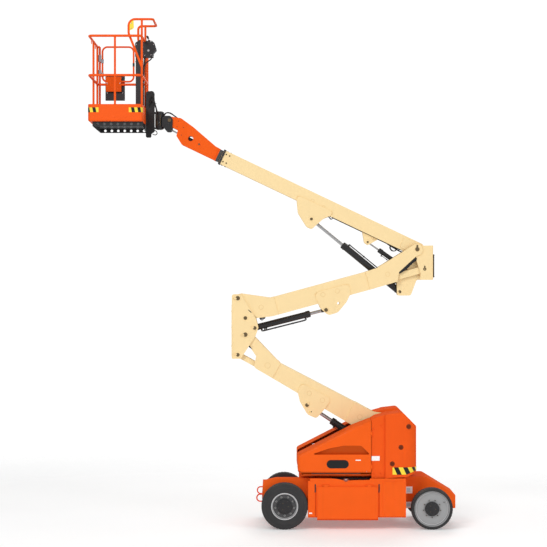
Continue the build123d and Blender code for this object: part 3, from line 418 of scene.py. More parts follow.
@dataclass(frozen=True)
class Brushed(Finish):
    """Bare metal with fine marks along one axis."""

    along: Point = (1.0, 1.0, 1.0)

    def base(self, graph: Graph) -> Socket:
        """The metal's colour with its fine marks, and return its socket."""
        marks = graph.ramp(graph.noise(420.0, 3.0, self.along), 0.3, 0.7)
        return graph.blend(marks, tuple(c * 0.8 for c in self.colour), self.colour)


@dataclass(frozen=True)
class Chequered(Finish):
    """A moulded skin with a small grained relief."""

    def base(self, graph: Graph) -> Socket:
        """The plastic's colour with a slightly paler grain, and return its socket."""
        grain = graph.ramp(graph.noise(900.0, 2.0), 0.4, 0.65)
        return graph.blend(grain, self.colour,
                           tuple(min(1.0, c * 1.3 + 0.004) for c in self.colour))


class Coat(Enum):
    """Every finish on the machine, and the record's slot that each one belongs to."""

    # The orange finishes' edge colour is a brighter orange: a painted highlight on their edges, not wear.
    ORANGE = Finish("orange_enamel", (0.88, 0.118, 0.014), 0.55, "orange_paint", coat=0.05,
                    specular=0.0, wear_and_highlight=0.4, wear_and_highlight_colour=(0.97, 0.22, 0.06), runs=0.08, dust=0.03)
    ORANGE_CAST = Finish("orange_casting", (0.85, 0.104, 0.014), 0.55, "orange_cast", coat=0.05,
                         specular=0.0, wear_and_highlight=0.4, wear_and_highlight_colour=(0.95, 0.21, 0.06), cast=True,
                         bump=0.22, bump_depth=0.004, runs=0.08, dust=0.03)
    # The hoods' faces that point down carry painted shade, set by the amount below.
    ORANGE_SHELL = Finish("orange_moulding_skin", (0.88, 0.120, 0.014), 0.50, "orange_moulding",
                          coat=0.06, specular=0.0, underside_shade=0.75, wear_and_highlight=0.3,
                          wear_and_highlight_colour=(0.98, 0.24, 0.08), bump=0.03, dust=0.02)
    ORANGE_TUBE = Finish("orange_tube_enamel", (0.90, 0.104, 0.006), 0.45, "orange_paint",
                         coat=0.02, specular=0.16, mottle_scale=9.0, mottle=0.12, dust=0.02)
    RING = Finish("ring_enamel", (0.84, 0.070, 0.014), 0.5, "ring_paint", coat=0.03, wear_and_highlight=0.4,
                  dust=0.03)
    CREAM = Finish("cream_enamel", (0.93, 0.715, 0.385), 0.5, "cream_paint", specular=0.12,
                   wear_and_highlight=0.4, wear_and_highlight_colour=(0.66, 0.42, 0.15), runs=0.06, mottle=0.05, dust=0.03)
    SEAM = Finish("cream_seam_enamel", (0.80, 0.57, 0.27), 0.5, "cream_paint", specular=0.25,
                  mottle=0.1)
    FLY = Finish("cream_section_enamel", (0.93, 0.715, 0.385), 0.48, "fly_paint", specular=0.14,
                 mottle=0.05, mottle_scale=11.0, dust=0.02)
    BLACK = Finish("black_enamel", (0.016, 0.016, 0.018), 0.45, "black_paint", coat=0.08,
                   specular=0.35, wear_and_highlight=0.6, wear_and_highlight_colour=(0.11, 0.11, 0.115), dust=0.10)
    BLACK_GLOSS = Finish("black_gloss_plate", (0.008, 0.008, 0.009), 0.35, "black_paint", coat=0.05,
                         specular=0.3, dust=0.05)
    CHROME = Brushed("rod_plating", (0.52, 0.53, 0.55), 0.34, "rod_chrome", metallic=1.0, dust=0.03,
                     bump=0.02, along=(1.0, 0.05, 1.0))
    RUBBER = Finish("tyre_rubber_skin", (0.034, 0.034, 0.035), 0.78, "tyre_rubber", specular=0.3,
                    mottle=0.5, mottle_scale=7.0, dust=0.20, bump=0.25, bump_scale=700.0)
    HOSE = Finish("hose_rubber", (0.012, 0.012, 0.013), 0.5, "black_paint", specular=0.4,
                  mottle=0.3, dust=0.10, bump=0.1, bump_scale=900.0)
    RIM_DARK = Finish("rim_dark_enamel", (0.060, 0.060, 0.063), 0.45, "rim_dark", coat=0.1,
                      wear_and_highlight=0.5, wear_and_highlight_colour=(0.3, 0.3, 0.3))
    RIM_GREY = Finish("rim_grey_enamel", (0.315, 0.32, 0.325), 0.42, "rim_grey", coat=0.15,
                      wear_and_highlight=0.5, wear_and_highlight_colour=(0.6, 0.6, 0.6), runs=0.1)
    BEAD = Finish("bead_ring_enamel", (0.62, 0.62, 0.63), 0.45, "rim_grey", mottle=0.15)
    STEEL = Brushed("zinc_plated_steel", (0.52, 0.53, 0.54), 0.32, "hinge_grey", metallic=1.0,
                    dust=0.05)
    PIN = Brushed("pin_steel", (0.17, 0.122, 0.062), 0.48, "black_paint", metallic=0.2,
                  specular=0.2)
    # Dark orange for the cups and caps in the counterweight's recesses, painted as the recesses' shade.
    RECESS_SHADE = Finish("recess_painted_shade", (0.20, 0.036, 0.010), 0.60, "black_paint", specular=0.15,
                    mottle=0.3, mottle_scale=30.0)
    # Darker orange, painted as the shade in gaps and under bottom edges.
    SHADE = Finish("orange_painted_shade_enamel", (0.62, 0.060, 0.005), 0.55, "orange_paint", specular=0.08,
                   mottle=0.1)
    SLEEVE = Finish("dark_grey_sleeve", (0.045, 0.046, 0.048), 0.5, "fly_paint", mottle=0.15)
    BUMPER = Finish("pad_rubber_skin", (0.014, 0.014, 0.015), 0.62, "pad_rubber", specular=0.3,
                    mottle=0.3, bump=0.2, bump_scale=800.0)
    GREY = Finish("grey_hinge_coat", (0.33, 0.34, 0.37), 0.5, "hinge_grey", wear_and_highlight=0.4,
                  wear_and_highlight_colour=(0.6, 0.6, 0.62))
    PLASTIC = Chequered("black_moulded_plastic", (0.016, 0.016, 0.019), 0.55, "dark_plastic",
                        bump=0.2, bump_scale=1100.0, dust=0.08)
    BATTERY = Chequered("battery_case_plastic", (0.022, 0.022, 0.024), 0.5, "battery_case",
                        bump=0.12)
    PACK = Finish("power_pack_enamel", (0.05, 0.052, 0.056), 0.5, "pack_paint", wear_and_highlight=0.4)
    WHITE = Finish("white_plate", (0.93, 0.92, 0.90), 0.40, "orange_paint", mottle=0.04, dust=0.05)
    PALE_BLUE = Finish("pale_blue_plate", (0.55, 0.68, 0.78), 0.35, "orange_paint", mottle=0.04,
                       dust=0.05)
    YELLOW = Finish("yellow_plate", (0.93, 0.71, 0.035), 0.38, "orange_paint", mottle=0.05,
                    dust=0.05)
    RED = Finish("red_moulding", (0.62, 0.02, 0.015), 0.35, "dark_plastic", coat=0.3, dust=0.04)
    LOCK = Finish("lock_enamel", (0.30, 0.085, 0.06), 0.45, "orange_paint", mottle=0.3,
                  mottle_scale=40.0)
    GREEN = Finish("green_moulding", (0.03, 0.26, 0.12), 0.4, "dark_plastic", coat=0.2, dust=0.04)
    PALE_GREY = Finish("pale_grey_moulding", (0.5, 0.5, 0.5), 0.45, "dark_plastic", mottle=0.05)
    BRASS = Brushed("brass_fitting", (0.70, 0.50, 0.22), 0.35, "black_paint", metallic=1.0)

    @property
    def material(self) -> bpy.types.Material:
        """The finish's material, built the first time that it is asked for."""
        return bpy.data.materials.get(self.value.label) or self.value.material()


# ---- meshes ----------------------------------------------------------------------------------

def unit(axis: Sequence[float]) -> tuple[Vector, Vector, Vector]:
    """Three square directions, the first along the axis.

    Args:
        axis: Any direction.

    Returns:
        The axis and two directions across it.
    """
    w = Vector(axis).normalized()
    u = Vector(UP) if abs(w.z) < 0.9 else Vector((1, 0, 0))
    u = (u - w * u.dot(w)).normalized()
    return w, u, w.cross(u)


def smooth_path(points: Sequence[Point], steps: int = 6) -> list[Vector]:
    """A smooth line through points.

    Args:
        points: The points that it goes through.
        steps: Divisions between two points.

    Returns:
        The points along the line.
    """
    p = [Vector(q) for q in points]
    if len(p) < 3:
        return p
    p = [p[0] * 2 - p[1], *p, p[-1] * 2 - p[-2]]
    line = []
    for a, b, c, d in zip(p, p[1:], p[2:], p[3:]):
        for step in range(steps):
            t = step / steps
            line.append(0.5 * ((2 * b) + (c - a) * t + (2 * a - 5 * b + 4 * c - d) * t * t
                               + (3 * b - a - 3 * c + d) * t ** 3))
    return [*line, p[-2]]


class Shape:
    """Forms gathered into one mesh, with a finish on each face."""

    def __init__(self, name: str, body: str) -> None:
        """Start an empty shape.

        Args:
            name: The piece's name.
            body: The body that it rides on.
        """
        self.name, self.body = name, body
        self.mesh = bmesh.new()
        self.coats: list[Coat] = []

    def slot(self, coat: Coat) -> int:
        """The material index of a finish.

        Args:
            coat: The finish.

        Returns:
            The index.
        """
        if coat not in self.coats:
            self.coats.append(coat)
        return self.coats.index(coat)

    def skin(self, rings: Sequence[Sequence[Vector]], coat: Coat,
             ends: tuple[bool, bool] = (True, True), round_again: bool = False) -> None:
        """Join rings of points into a skin.

        Args:
            rings: Rings of as many points each, in order.
            coat: The finish.
            ends: Whether the first and the last ring are filled.
            round_again: Whether the last ring joins the first.
        """
        made = [[self.mesh.verts.new(point) for point in ring] for ring in rings]
        index, count = self.slot(coat), len(made[0])
        faces = []
        pairs = list(zip(made, made[1:])) + ([(made[-1], made[0])] if round_again else [])
        for low, high in pairs:
            for k in range(count):
                n = (k + 1) % count
                faces.append(self.mesh.faces.new((low[k], low[n], high[n], high[k])))
        if ends[0] and not round_again:
            faces.append(self.mesh.faces.new(made[0][::-1]))
        if ends[1] and not round_again:
            faces.append(self.mesh.faces.new(made[-1]))
        for face in faces:
            face.material_index, face.smooth = index, True

    def turn(self, rows: Sequence[Row], centre: Point, axis: Point, coat: Coat, sides: int = 32,
             ends: tuple[bool, bool] = (True, True), closed: bool = False) -> None:
        """Turn a profile about an axis.

        Args:
            rows: The profile, as distance along the axis and radius.
            centre: A point on the axis.
            axis: The axis's direction.
            coat: The finish.
            sides: Divisions round the axis.
            ends: Whether the first and the last ring are filled.
            closed: Whether the profile closes on itself.
        """
        w, u, v = unit(axis)
        c = Vector(centre)
        rings = [[c + w * along + (u * math.cos(a) + v * math.sin(a)) * radius
                  for a in (2 * math.pi * k / sides for k in range(sides))]
                 for along, radius in rows]
        self.skin(rings, coat, ends, closed)

    def tube(self, points: Sequence[Point], radius: float, coat: Coat, sides: int = 10,
             steps: int = 6, straight: bool = False, loop: bool = False) -> None:
        """Sweep a round tube along a line.

        Args:
            points: The line's points.
            radius: The tube's radius.
            coat: The finish.
            sides: Divisions round the tube.
            steps: Divisions between two points.
            straight: Whether the runs between points stay straight.
            loop: Whether the line closes on itself.
        """
        line = [Vector(p) for p in points] if straight else smooth_path(points, steps)
        count = len(line)
        _, u, _ = unit(line[1] - line[0])
        rings = []
        for k, place in enumerate(line):
            before, after = line[max(k - 1, 0)], line[min(k + 1, count - 1)]
            if loop:
                before, after = line[k - 1], line[(k + 1) % count]
            w = (after - before).normalized()
            u = (u - w * u.dot(w)).normalized()
            v = w.cross(u)
            rings.append([place + (u * math.cos(a) + v * math.sin(a)) * radius
                          for a in (2 * math.pi * s / sides for s in range(sides))])
        self.skin(rings, coat, round_again=loop)

    def bar(self, points: Sequence[Point], radius: float, coat: Coat, sides: int = 8,
            loop: bool = False) -> None:
        """Sweep a round bar that runs straight between points."""
        self.tube(points, radius, coat, sides, straight=True, loop=loop)

    def plate(self, outline: Sequence[Row], origin: Point, across: Point, up: Point, thick: float,
              coat: Coat, edge: float = 0.0012) -> None:
        """A plate with softened edges.

        Args:
            outline: Its corners, as across and up.
            origin: Where across and up are zero, on its back.
            across: The direction of across.
            up: The direction of up.
            thick: Its thickness, away from its back.
            coat: The finish.
            edge: The chamfer on its edges.
        """
        a, b, o = Vector(across).normalized(), Vector(up).normalized(), Vector(origin)
        n = a.cross(b) * (1 if thick > 0 else -1)
        t = abs(thick)
        cx = sum(x for x, _ in outline) / len(outline)
        cy = sum(y for _, y in outline) / len(outline)
        size = max(max(abs(x - cx), abs(y - cy)) for x, y in outline)
        pull = 1 - edge / max(size, edge * 3)

        def ring(height: float, scale: float) -> list[Vector]:
            """The outline at a height, scaled about its middle."""
            return [o + a * (cx + (x - cx) * scale) + b * (cy + (y - cy) * scale) + n * height
                    for x, y in outline]

        rings = [ring(0, pull), ring(edge, 1), ring(t - edge, 1), ring(t, pull)]
        self.skin(rings, coat)

    def block(self, low: Point, high: Point, coat: Coat, edge: float = 0.002) -> None:
        """A block with softened edges between two corners.

        Args:
            low: Its lowest corner.
            high: Its highest corner.
            coat: The finish.
            edge: The chamfer on its edges.
        """
        (x0, y0, z0), (x1, y1, z1) = low, high
        e = min(edge, (x1 - x0) / 3, (y1 - y0) / 3, (z1 - z0) / 3)
        corners = [(x0 + e, y0), (x1 - e, y0), (x1, y0 + e), (x1, y1 - e), (x1 - e, y1),
                   (x0 + e, y1), (x0, y1 - e), (x0, y0 + e)]
        mx, my = (x0 + x1) / 2, (y0 + y1) / 2
        fx, fy = 1 - 2 * e / (x1 - x0), 1 - 2 * e / (y1 - y0)

        def ring(z: float, inset: bool) -> list[Vector]:
            """The corners at a height, drawn in where the chamfer ends."""
            return [Vector((mx + (x - mx) * fx, my + (y - my) * fy, z)) if inset
                    else Vector((x, y, z)) for x, y in corners]

        self.skin([ring(z0, True), ring(z0 + e, False), ring(z1 - e, False), ring(z1, True)], coat)

    def label(self, size: Point, place: Point, side: int, thick: float, coat: Coat,
              edge: float) -> None:
        """A rectangular plate that faces outward from a side wall.

        Args:
            size: Half its width, and its bottom and top above the place.
            place: A point of its back.
            side: Which side of the machine.
            thick: Its thickness.
            coat: The finish.
            edge: The chamfer on its edges.
        """
        half, low, high = size
        rows = [(-half, low), (half, low), (half, high), (-half, high)]
        self.plate(rows, place, (-side, 0, 0), UP, thick, coat, edge)

    def slab(self, along: Row, up: Row, wall: float, side: int, depth: Row, coat: Coat,
             edge: float) -> None:
        """A block that is let into a side wall and stands out of it.

        Args:
            along: Its lowest and highest X.
            up: Its lowest and highest Z.
            wall: The wall's Y.
            side: Which side of the machine.
            depth: How far it goes into the wall and out of it.
            coat: The finish.
            edge: The chamfer on its edges.
        """
        near, far = sorted((wall - side * depth[0], wall + side * depth[1]))
        self.block((along[0], near, up[0]), (along[1], far, up[1]), coat, edge)

    def bolt(self, centre: Point, axis: Point, size: float, coat: Coat = Coat.STEEL,
             washer: bool = True) -> None:
        """A hexagon head on a washer.

        Args:
            centre: Where the washer sits.
            axis: The way that the head points.
            size: The radius across the head's corners.
            coat: The finish.
            washer: Whether there is a washer.
        """
        if washer:
            self.turn([(0, size * 1.45), (size * 0.18, size * 1.45), (size * 0.24, size * 1.35)],
                      centre, axis, coat, 18)
        h = size * 0.2 if washer else 0.0
        self.turn([(h, size), (h + size * 0.62, size), (h + size * 0.78, size * 0.82)], centre,
                  axis, coat, 6)

    def ring_of_bolts(self, centre: Point, axis: Point, radius: float, count: int, size: float,
                      coat: Coat = Coat.STEEL, start: float = 0.0) -> None:
        """Bolts at even places round an axis.

        Args:
            centre: The middle of the ring.
            axis: The way that the heads point.
            radius: The ring's radius.
            count: How many bolts.
            size: The size of a bolt's head.
            coat: The finish.
            start: The angle of the first bolt, in radians.
        """
        _, u, v = unit(axis)
        for k in range(count):
            a = start + 2 * math.pi * k / count
            self.bolt(Vector(centre) + (u * math.cos(a) + v * math.sin(a)) * radius, axis, size,
                      coat)

    def loose(self, sharp: float = 32.0) -> bpy.types.Object:
        """Make the object, which rides on nothing yet.

        Args:
            sharp: The angle, in degrees, above which an edge stays crisp.

        Returns:
            The object.
        """
        bmesh.ops.recalc_face_normals(self.mesh, faces=self.mesh.faces)
        data = bpy.data.meshes.new(self.name)
        self.mesh.to_mesh(data)
        self.mesh.free()
        data.set_sharp_from_angle(angle=math.radians(sharp))
        for coat in self.coats:
            data.materials.append(coat.material)
        piece = bpy.data.objects.new(self.name, data)
        bpy.context.scene.collection.objects.link(piece)
        LOG.info("%s: %d faces on %s", self.name, len(data.polygons), self.body)
        return piece

    def done(self, *stands_for: str, sharp: float = 32.0) -> None:
        """Make the object and let it ride on its body.

        Args:
            stands_for: CAD nodes that the piece is shown instead of.
            sharp: The angle, in degrees, above which an edge stays crisp.
        """
        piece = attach(self.loose(sharp), self.body)
        if stands_for:
            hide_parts(*stands_for)


def pin_of(joint: str) -> Vector:
    """The place of a joint of the frame."""
    return Vector(next(j["pos_m"] for j in frame["joints"] if j["name"] == joint))


@dataclass(frozen=True)
class Member:
    """An arm's own directions in the XZ plane: along it from its first pin, and up across it."""

    start: Vector
    angle: float
    side: int

    @property
    def along_axis(self) -> Vector:
        """The direction along the member."""
        a = math.radians(self.angle)
        return Vector((math.cos(a), 0, math.sin(a)))

    @property
    def up_axis(self) -> Vector:
        """The direction up across the member."""
        a = math.radians(self.angle)
        return Vector((-math.sin(a), 0, math.cos(a))) * self.side

    @property
    def axes(self) -> tuple[Vector, Vector]:
        """The directions along and up."""
        return self.along_axis, self.up_axis

    def at(self, along: float, up: float, y: float = 0.0) -> Vector:
        """A place along, up and across the member."""
        return self.start + self.along_axis * along + self.up_axis * up + Vector((0, y, 0))

    def run(self, rows: Sequence[Row], y: float) -> list[Vector]:
        """Places along and up the member, all of them at one Y."""
        return [self.at(along, up, y) for along, up in rows]


def section(member: Member, along: float, half_y: float, half_up: float,
            corner: float) -> list[Vector]:
    """A round-cornered cross-section of a member.

    Args:
        member: The member.
        along: Where along it.
        half_y: Half its width.
        half_up: Half its height.
        corner: The radius of its corners.

    Returns:
        The section's points in order.
    """
    points = []
    for n, (sy, su) in enumerate(((1, 1), (-1, 1), (-1, -1), (1, -1))):
        for k in range(6):
            a = math.pi / 2 * (n + k / 5)
            points.append(member.at(along, su * (half_up - corner) + corner * math.sin(a),
                                    sy * (half_y - corner) + corner * math.cos(a)))
    return points


LOWER = Member(pin_of("lower_arm_lift"), 151.0, -1)
UPPER = Member(pin_of("upper_arm_lift"), 15.25, 1)
BOOM = Member(pin_of("boom_lower"), 154.6, -1)

# From a pin of the tower to the pins of the level links and of the cylinders' barrels, and the
# lugs that the cylinders' rods push.
LOWER_LINK = Vector((-0.105, 0, -0.280))
UPPER_LINK = Vector((0.105, 0, -0.274))
MID_BASE = Vector((0.1295, 0, 0.0916))
LIFT_BASE = Vector((-0.237, 0, -0.589))
MASTER_BASE = Vector((-0.144, 0, -0.276))
LOWER_LUG = LOWER.at(1.320, -0.440)
UPPER_LUG = UPPER.at(1.137, -0.478)
LIFT_LUG = BOOM.at(1.505, -0.248)
MASTER_LUG = BOOM.at(0.660, -0.200)
SLAVE_LUG = BOOM.at(3.360, 0.022)
LEVEL_PIN = BOOM.at(3.875, 0.147)

# Profiles that are turned in several places, as distance along the axis and radius.
GREASE_NIPPLE: list[Row] = [(0, 0.005), (0.006, 0.005), (0.008, 0.0034), (0.014, 0.0034)]
BOSS_RING: list[Row] = [(0, 0.050), (0.0035, 0.050), (0.0045, 0.048), (0.0045, 0.034), (0, 0.033)]


# ---- studio ----------------------------------------------------------------------------------

@dataclass
class Studio:
    """The pale floor, the soft lights and the camera."""

    eye: Point = (0.0, -24.8, 3.38)
    lens: float = 117.1
    rise: float = 0.0119
    floor_reach: float = 14.0
    floor_fade: float = 5.0

    def build(self) -> None:
        """Make the studio."""
        bpy.context.scene.view_settings.view_transform = "Standard"
        self._camera()
        self._floor()
        self._world()
        self._light("key_light", (-7.0, -13.0, 13.0), (0.0, 0.0, 2.8), 7.0, 1250.0)
        self._light("fill_light", (11.0, -12.0, 6.0), (0.0, 0.0, 3.0), 9.0, 640.0)
        self._light("back_light", (3.0, 12.0, 11.0), (0.0, 0.0, 3.0), 8.0, 700.0)

    def _camera(self) -> None:
        """A level camera that looks along +Y."""
        data = bpy.data.cameras.new("camera")
        data.lens, data.sensor_width, data.shift_y = self.lens, 36.0, self.rise
        data.clip_end = 200.0
        camera = bpy.data.objects.new("camera", data)
        camera.location = self.eye
        camera.rotation_euler = (math.pi / 2, 0.0, 0.0)
        bpy.context.scene.collection.objects.link(camera)
        bpy.context.scene.camera = camera

    def _floor(self) -> None:
        """A pale round floor that fades out at its edge."""
        mesh = bmesh.new()
        bmesh.ops.create_circle(mesh, cap_ends=True, segments=96, radius=self.floor_reach)
        data = bpy.data.meshes.new("studio_floor")
        mesh.to_mesh(data)
        mesh.free()
        floor = bpy.data.objects.new("studio_floor", data)
        bpy.context.scene.collection.objects.link(floor)
        made = bpy.data.materials.new("studio_floor_paint")
        made.use_nodes = True
        made.node_tree.nodes.clear()
        graph = Graph(made.node_tree)
        place = graph.node("ShaderNodeTexCoord").outputs["Object"]
        reach = graph.node("ShaderNodeVectorMath", {0: place}, operation="LENGTH").outputs["Value"]
        tone = graph.ramp(graph.noise(0.6, 3.0), 0.3, 0.7)
        shader = graph.node("ShaderNodeBsdfPrincipled",
                            {"Roughness": 0.7, "Base Color": graph.blend(tone, (0.88, 0.88, 0.88),
                (0.90, 0.90, 0.90)), "Emission Color": (1.0, 1.0, 1.0, 1.0),
                             "Emission Strength": 0.22, "Alpha": graph.ramp(reach, self.floor_fade,
                self.floor_reach * 0.93, 1.0, 0.0)})
        out = graph.node("ShaderNodeOutputMaterial")
        graph.feed(out.inputs["Surface"], shader.outputs[0])
        data.materials.append(made)

    def _world(self) -> None:
        """White surroundings that light the machine softly."""
        world = bpy.data.worlds.new("studio_air")
        bpy.context.scene.world = world
        world.use_nodes = True
        world.node_tree.nodes.clear()
        graph = Graph(world.node_tree)
        seen = graph.node("ShaderNodeLightPath").outputs["Is Camera Ray"]
        strength = graph.math("ADD", 0.45, graph.math("MULTIPLY", seen, 0.60))
        air = graph.node("ShaderNodeBackground",
                         {"Color": (1.0, 1.0, 1.0, 1.0), "Strength": strength})
        out = graph.node("ShaderNodeOutputWorld")
        graph.feed(out.inputs["Surface"], air.outputs[0])

    @staticmethod
    def _light(name: str, place: Point, target: Point, size: float, power: float) -> None:
        """One soft square light that faces a target.

        Args:
            name: The light's name.
            place: Where it stands.
            target: What it points to.
            size: Its width and height.
            power: Its power, in watts.
        """
        data = bpy.data.lights.new(name, "AREA")
        data.size, data.energy = size, power
        lamp = bpy.data.objects.new(name, data)
        lamp.location = place
        lamp.rotation_euler = (Vector(target) - Vector(place)).to_track_quat("-Z", "Y").to_euler()
        bpy.context.scene.collection.objects.link(lamp)


# ---- wheels ----------------------------------------------------------------------------------

@dataclass
class Wheel:
    """One wheel: a grooved tyre in place of the plain one, and the rim's fittings."""

    name: str
    side: int
    x: float
    radius: float
    rim: float
    face: float
    hub: float
    bolts: int
    bolt_ring: float
    band: tuple[float, float]
    steered: bool
    outer: float = 0.7491
    width: float = 0.1791
    lugs: int = 44

    def build(self) -> None:
        """Make the tyre and the fittings."""
        self._tyre()
        self._fittings()

    @property
    def centre(self) -> Vector:
        """The wheel's centre, on the machine's middle plane."""
        return Vector((self.x, 0.0, self.radius))

    def _profile(self) -> list[tuple[float, float, float]]:
        """The tyre's outline as radius, distance out and how deep the cross grooves cut there.

        Returns:
            The rows in order, from one bead of the tyre to the other.
        """
        inner, outer = self.outer - self.width, self.outer
        bulge = 0.4 * (self.radius - self.rim)
        r, m = self.radius, self.rim + bulge
        wall = r - m
        rows = [(self.rim, inner + 0.014, 0), (self.rim + 0.006, inner + 0.009, 0),
                (m - 0.012, inner + 0.0025, 0), (m, inner + 0.0006, 0),
                (m + wall * 0.35, inner + 0.004, 0), (r - 0.016, inner + 0.011, 0),
                (r - 0.006, inner + 0.0165, 0.004), (r - 0.0012, inner + 0.026, 0.006)]
        middle = (inner + outer) / 2
        for k in range(1, 4):
            at = inner + self.width * k / 4
            rows += [(r - 0.0006, at - 0.0065, 0.004), (r - 0.0075, at - 0.0045, 0),
                     (r - 0.0075, at + 0.0045, 0), (r - 0.0006, at + 0.0065, 0.004)]
        face = [(q, 2 * middle - out, cut) for q, out, cut in rows[7::-1]]
        rib = [(m + wall * 0.22, outer - 0.0018, 0), (m + wall * 0.20, outer - 0.0001, 0),
               (m + wall * 0.12, outer - 0.0001, 0), (m + wall * 0.10, outer - 0.0012, 0)]
        inside = [q for q in face if q[0] <= m + 1e-6]
        outside = [q for q in face if q[0] > m + 1e-6]
        return rows + outside + rib + inside + [(self.rim, outer - 0.014, 0)]

    def _tyre(self) -> None:
        """The tyre with circumferential and cross grooves."""
        shape = Shape(f"{self.name}_tread", self.name)
        profile = self._profile()
        steps = []
        for lug in range(self.lugs):
            for part, cut in ((0.0, 0.0), (0.80, 0.0), (0.84, 1.0), (0.96, 1.0)):
                steps.append((2 * math.pi * (lug + part) / self.lugs, cut))
        rings = []
        for radius, out, depth in profile:
            rings.append([Vector((self.x + math.sin(a) * (radius - depth * cut), self.side * out,
                                  self.radius + math.cos(a) * (radius - depth * cut)))
                          for a, cut in steps])
        shape.skin(rings, Coat.RUBBER, round_again=True)
        shape.done(f"{'front' if self.steered else 'rear'}_tyre_{self.name.split('_')[-1]}",
                   sharp=40.0)

    def _fittings(self) -> None:
        """Bead ring, pressed band, wheel bolts, hub cap and valve."""
        out = OUTWARD[self.side]
        shape = Shape(f"{self.name}_fittings", self.name)
        face = self.centre + Vector((0, self.side * self.face, 0))
        lip, rim = self.outer - 0.014 - self.face, self.rim
        shape.turn([(lip - 0.012, rim - 0.0075), (lip + 0.003, rim - 0.0065),
                    (lip + 0.005, rim - 0.002), (lip + 0.003, rim + 0.005),
                    (lip - 0.001, rim + 0.0055), (lip - 0.012, rim - 0.001)], face, out,
                   Coat.RIM_GREY if self.steered else Coat.BEAD, 72, closed=True)
        low, high = self.band
        shape.turn([(0.0003, high), (0.0045, high - 0.001), (0.006, high - 0.003),
                    (0.006, low + 0.003), (0.0045, low + 0.001), (0.0003, low)], face, out,
                   Coat.BEAD, 72, OPEN)
        edge = self.hub + 0.010
        shape.turn([(0.0003, edge + 0.004), (0.0025, edge + 0.003), (0.0035, edge),
                    (0.0025, edge - 0.003), (0.0003, edge - 0.004)], face, out,
                   Coat.RIM_GREY if self.steered else Coat.RIM_DARK, 56, OPEN)
        for k in range(self.bolts):
            a = 2 * math.pi * k / self.bolts + math.pi / self.bolts
            place = face + Vector((math.sin(a) * self.bolt_ring, 0, math.cos(a) * self.bolt_ring))
            shape.turn([(0.0003, 0.0125), (0.0020, 0.0118), (0.0026, 0.0100)], place, out,
                       Coat.RIM_GREY if self.steered else Coat.STEEL, 20)
            shape.turn([(0.0020, 0.0080), (0.0100, 0.0080), (0.0115, 0.0066)], place, out,
                       Coat.BLACK, 6)
            shape.turn([(0.0110, 0.0042), (0.0170, 0.0042), (0.0180, 0.0034)], place, out, Coat.PIN,
                       10)
        r = self.hub
        cap = face + Vector((0, self.side * 0.034, 0))
        shape.turn([(-0.0335, r + 0.0015), (-0.004, r + 0.0015), (-0.0005, r - 0.001),
                    (0.001, r - 0.005), (0.001, r * 0.66), (0.0032, r * 0.63), (0.0036, r * 0.34),
                    (0.0056, r * 0.30), (0.0060, r * 0.12)], cap, out, Coat.BLACK, 56)
        shape.ring_of_bolts(cap + Vector((0, self.side * 0.0005, 0)), out, r * 0.80, 8, 0.0058,
                            Coat.BLACK, 0.2)
        shape.ring_of_bolts(cap + Vector((0, self.side * 0.0030, 0)), out, r * 0.48, 3, 0.0030,
                            Coat.PIN, 0.5)
        stem = face + Vector((math.cos(0.5) * self.rim * 0.78, 0, math.sin(0.5) * self.rim * 0.78))
        shape.turn([(0, 0.0065), (0.012, 0.0060), (0.014, 0.0035), (0.024, 0.0035), (0.026, 0.0046),
                    (0.032, 0.0042)], stem, out, Coat.BLACK, 12)
        shape.done()


# ---- chassis ---------------------------------------------------------------------------------

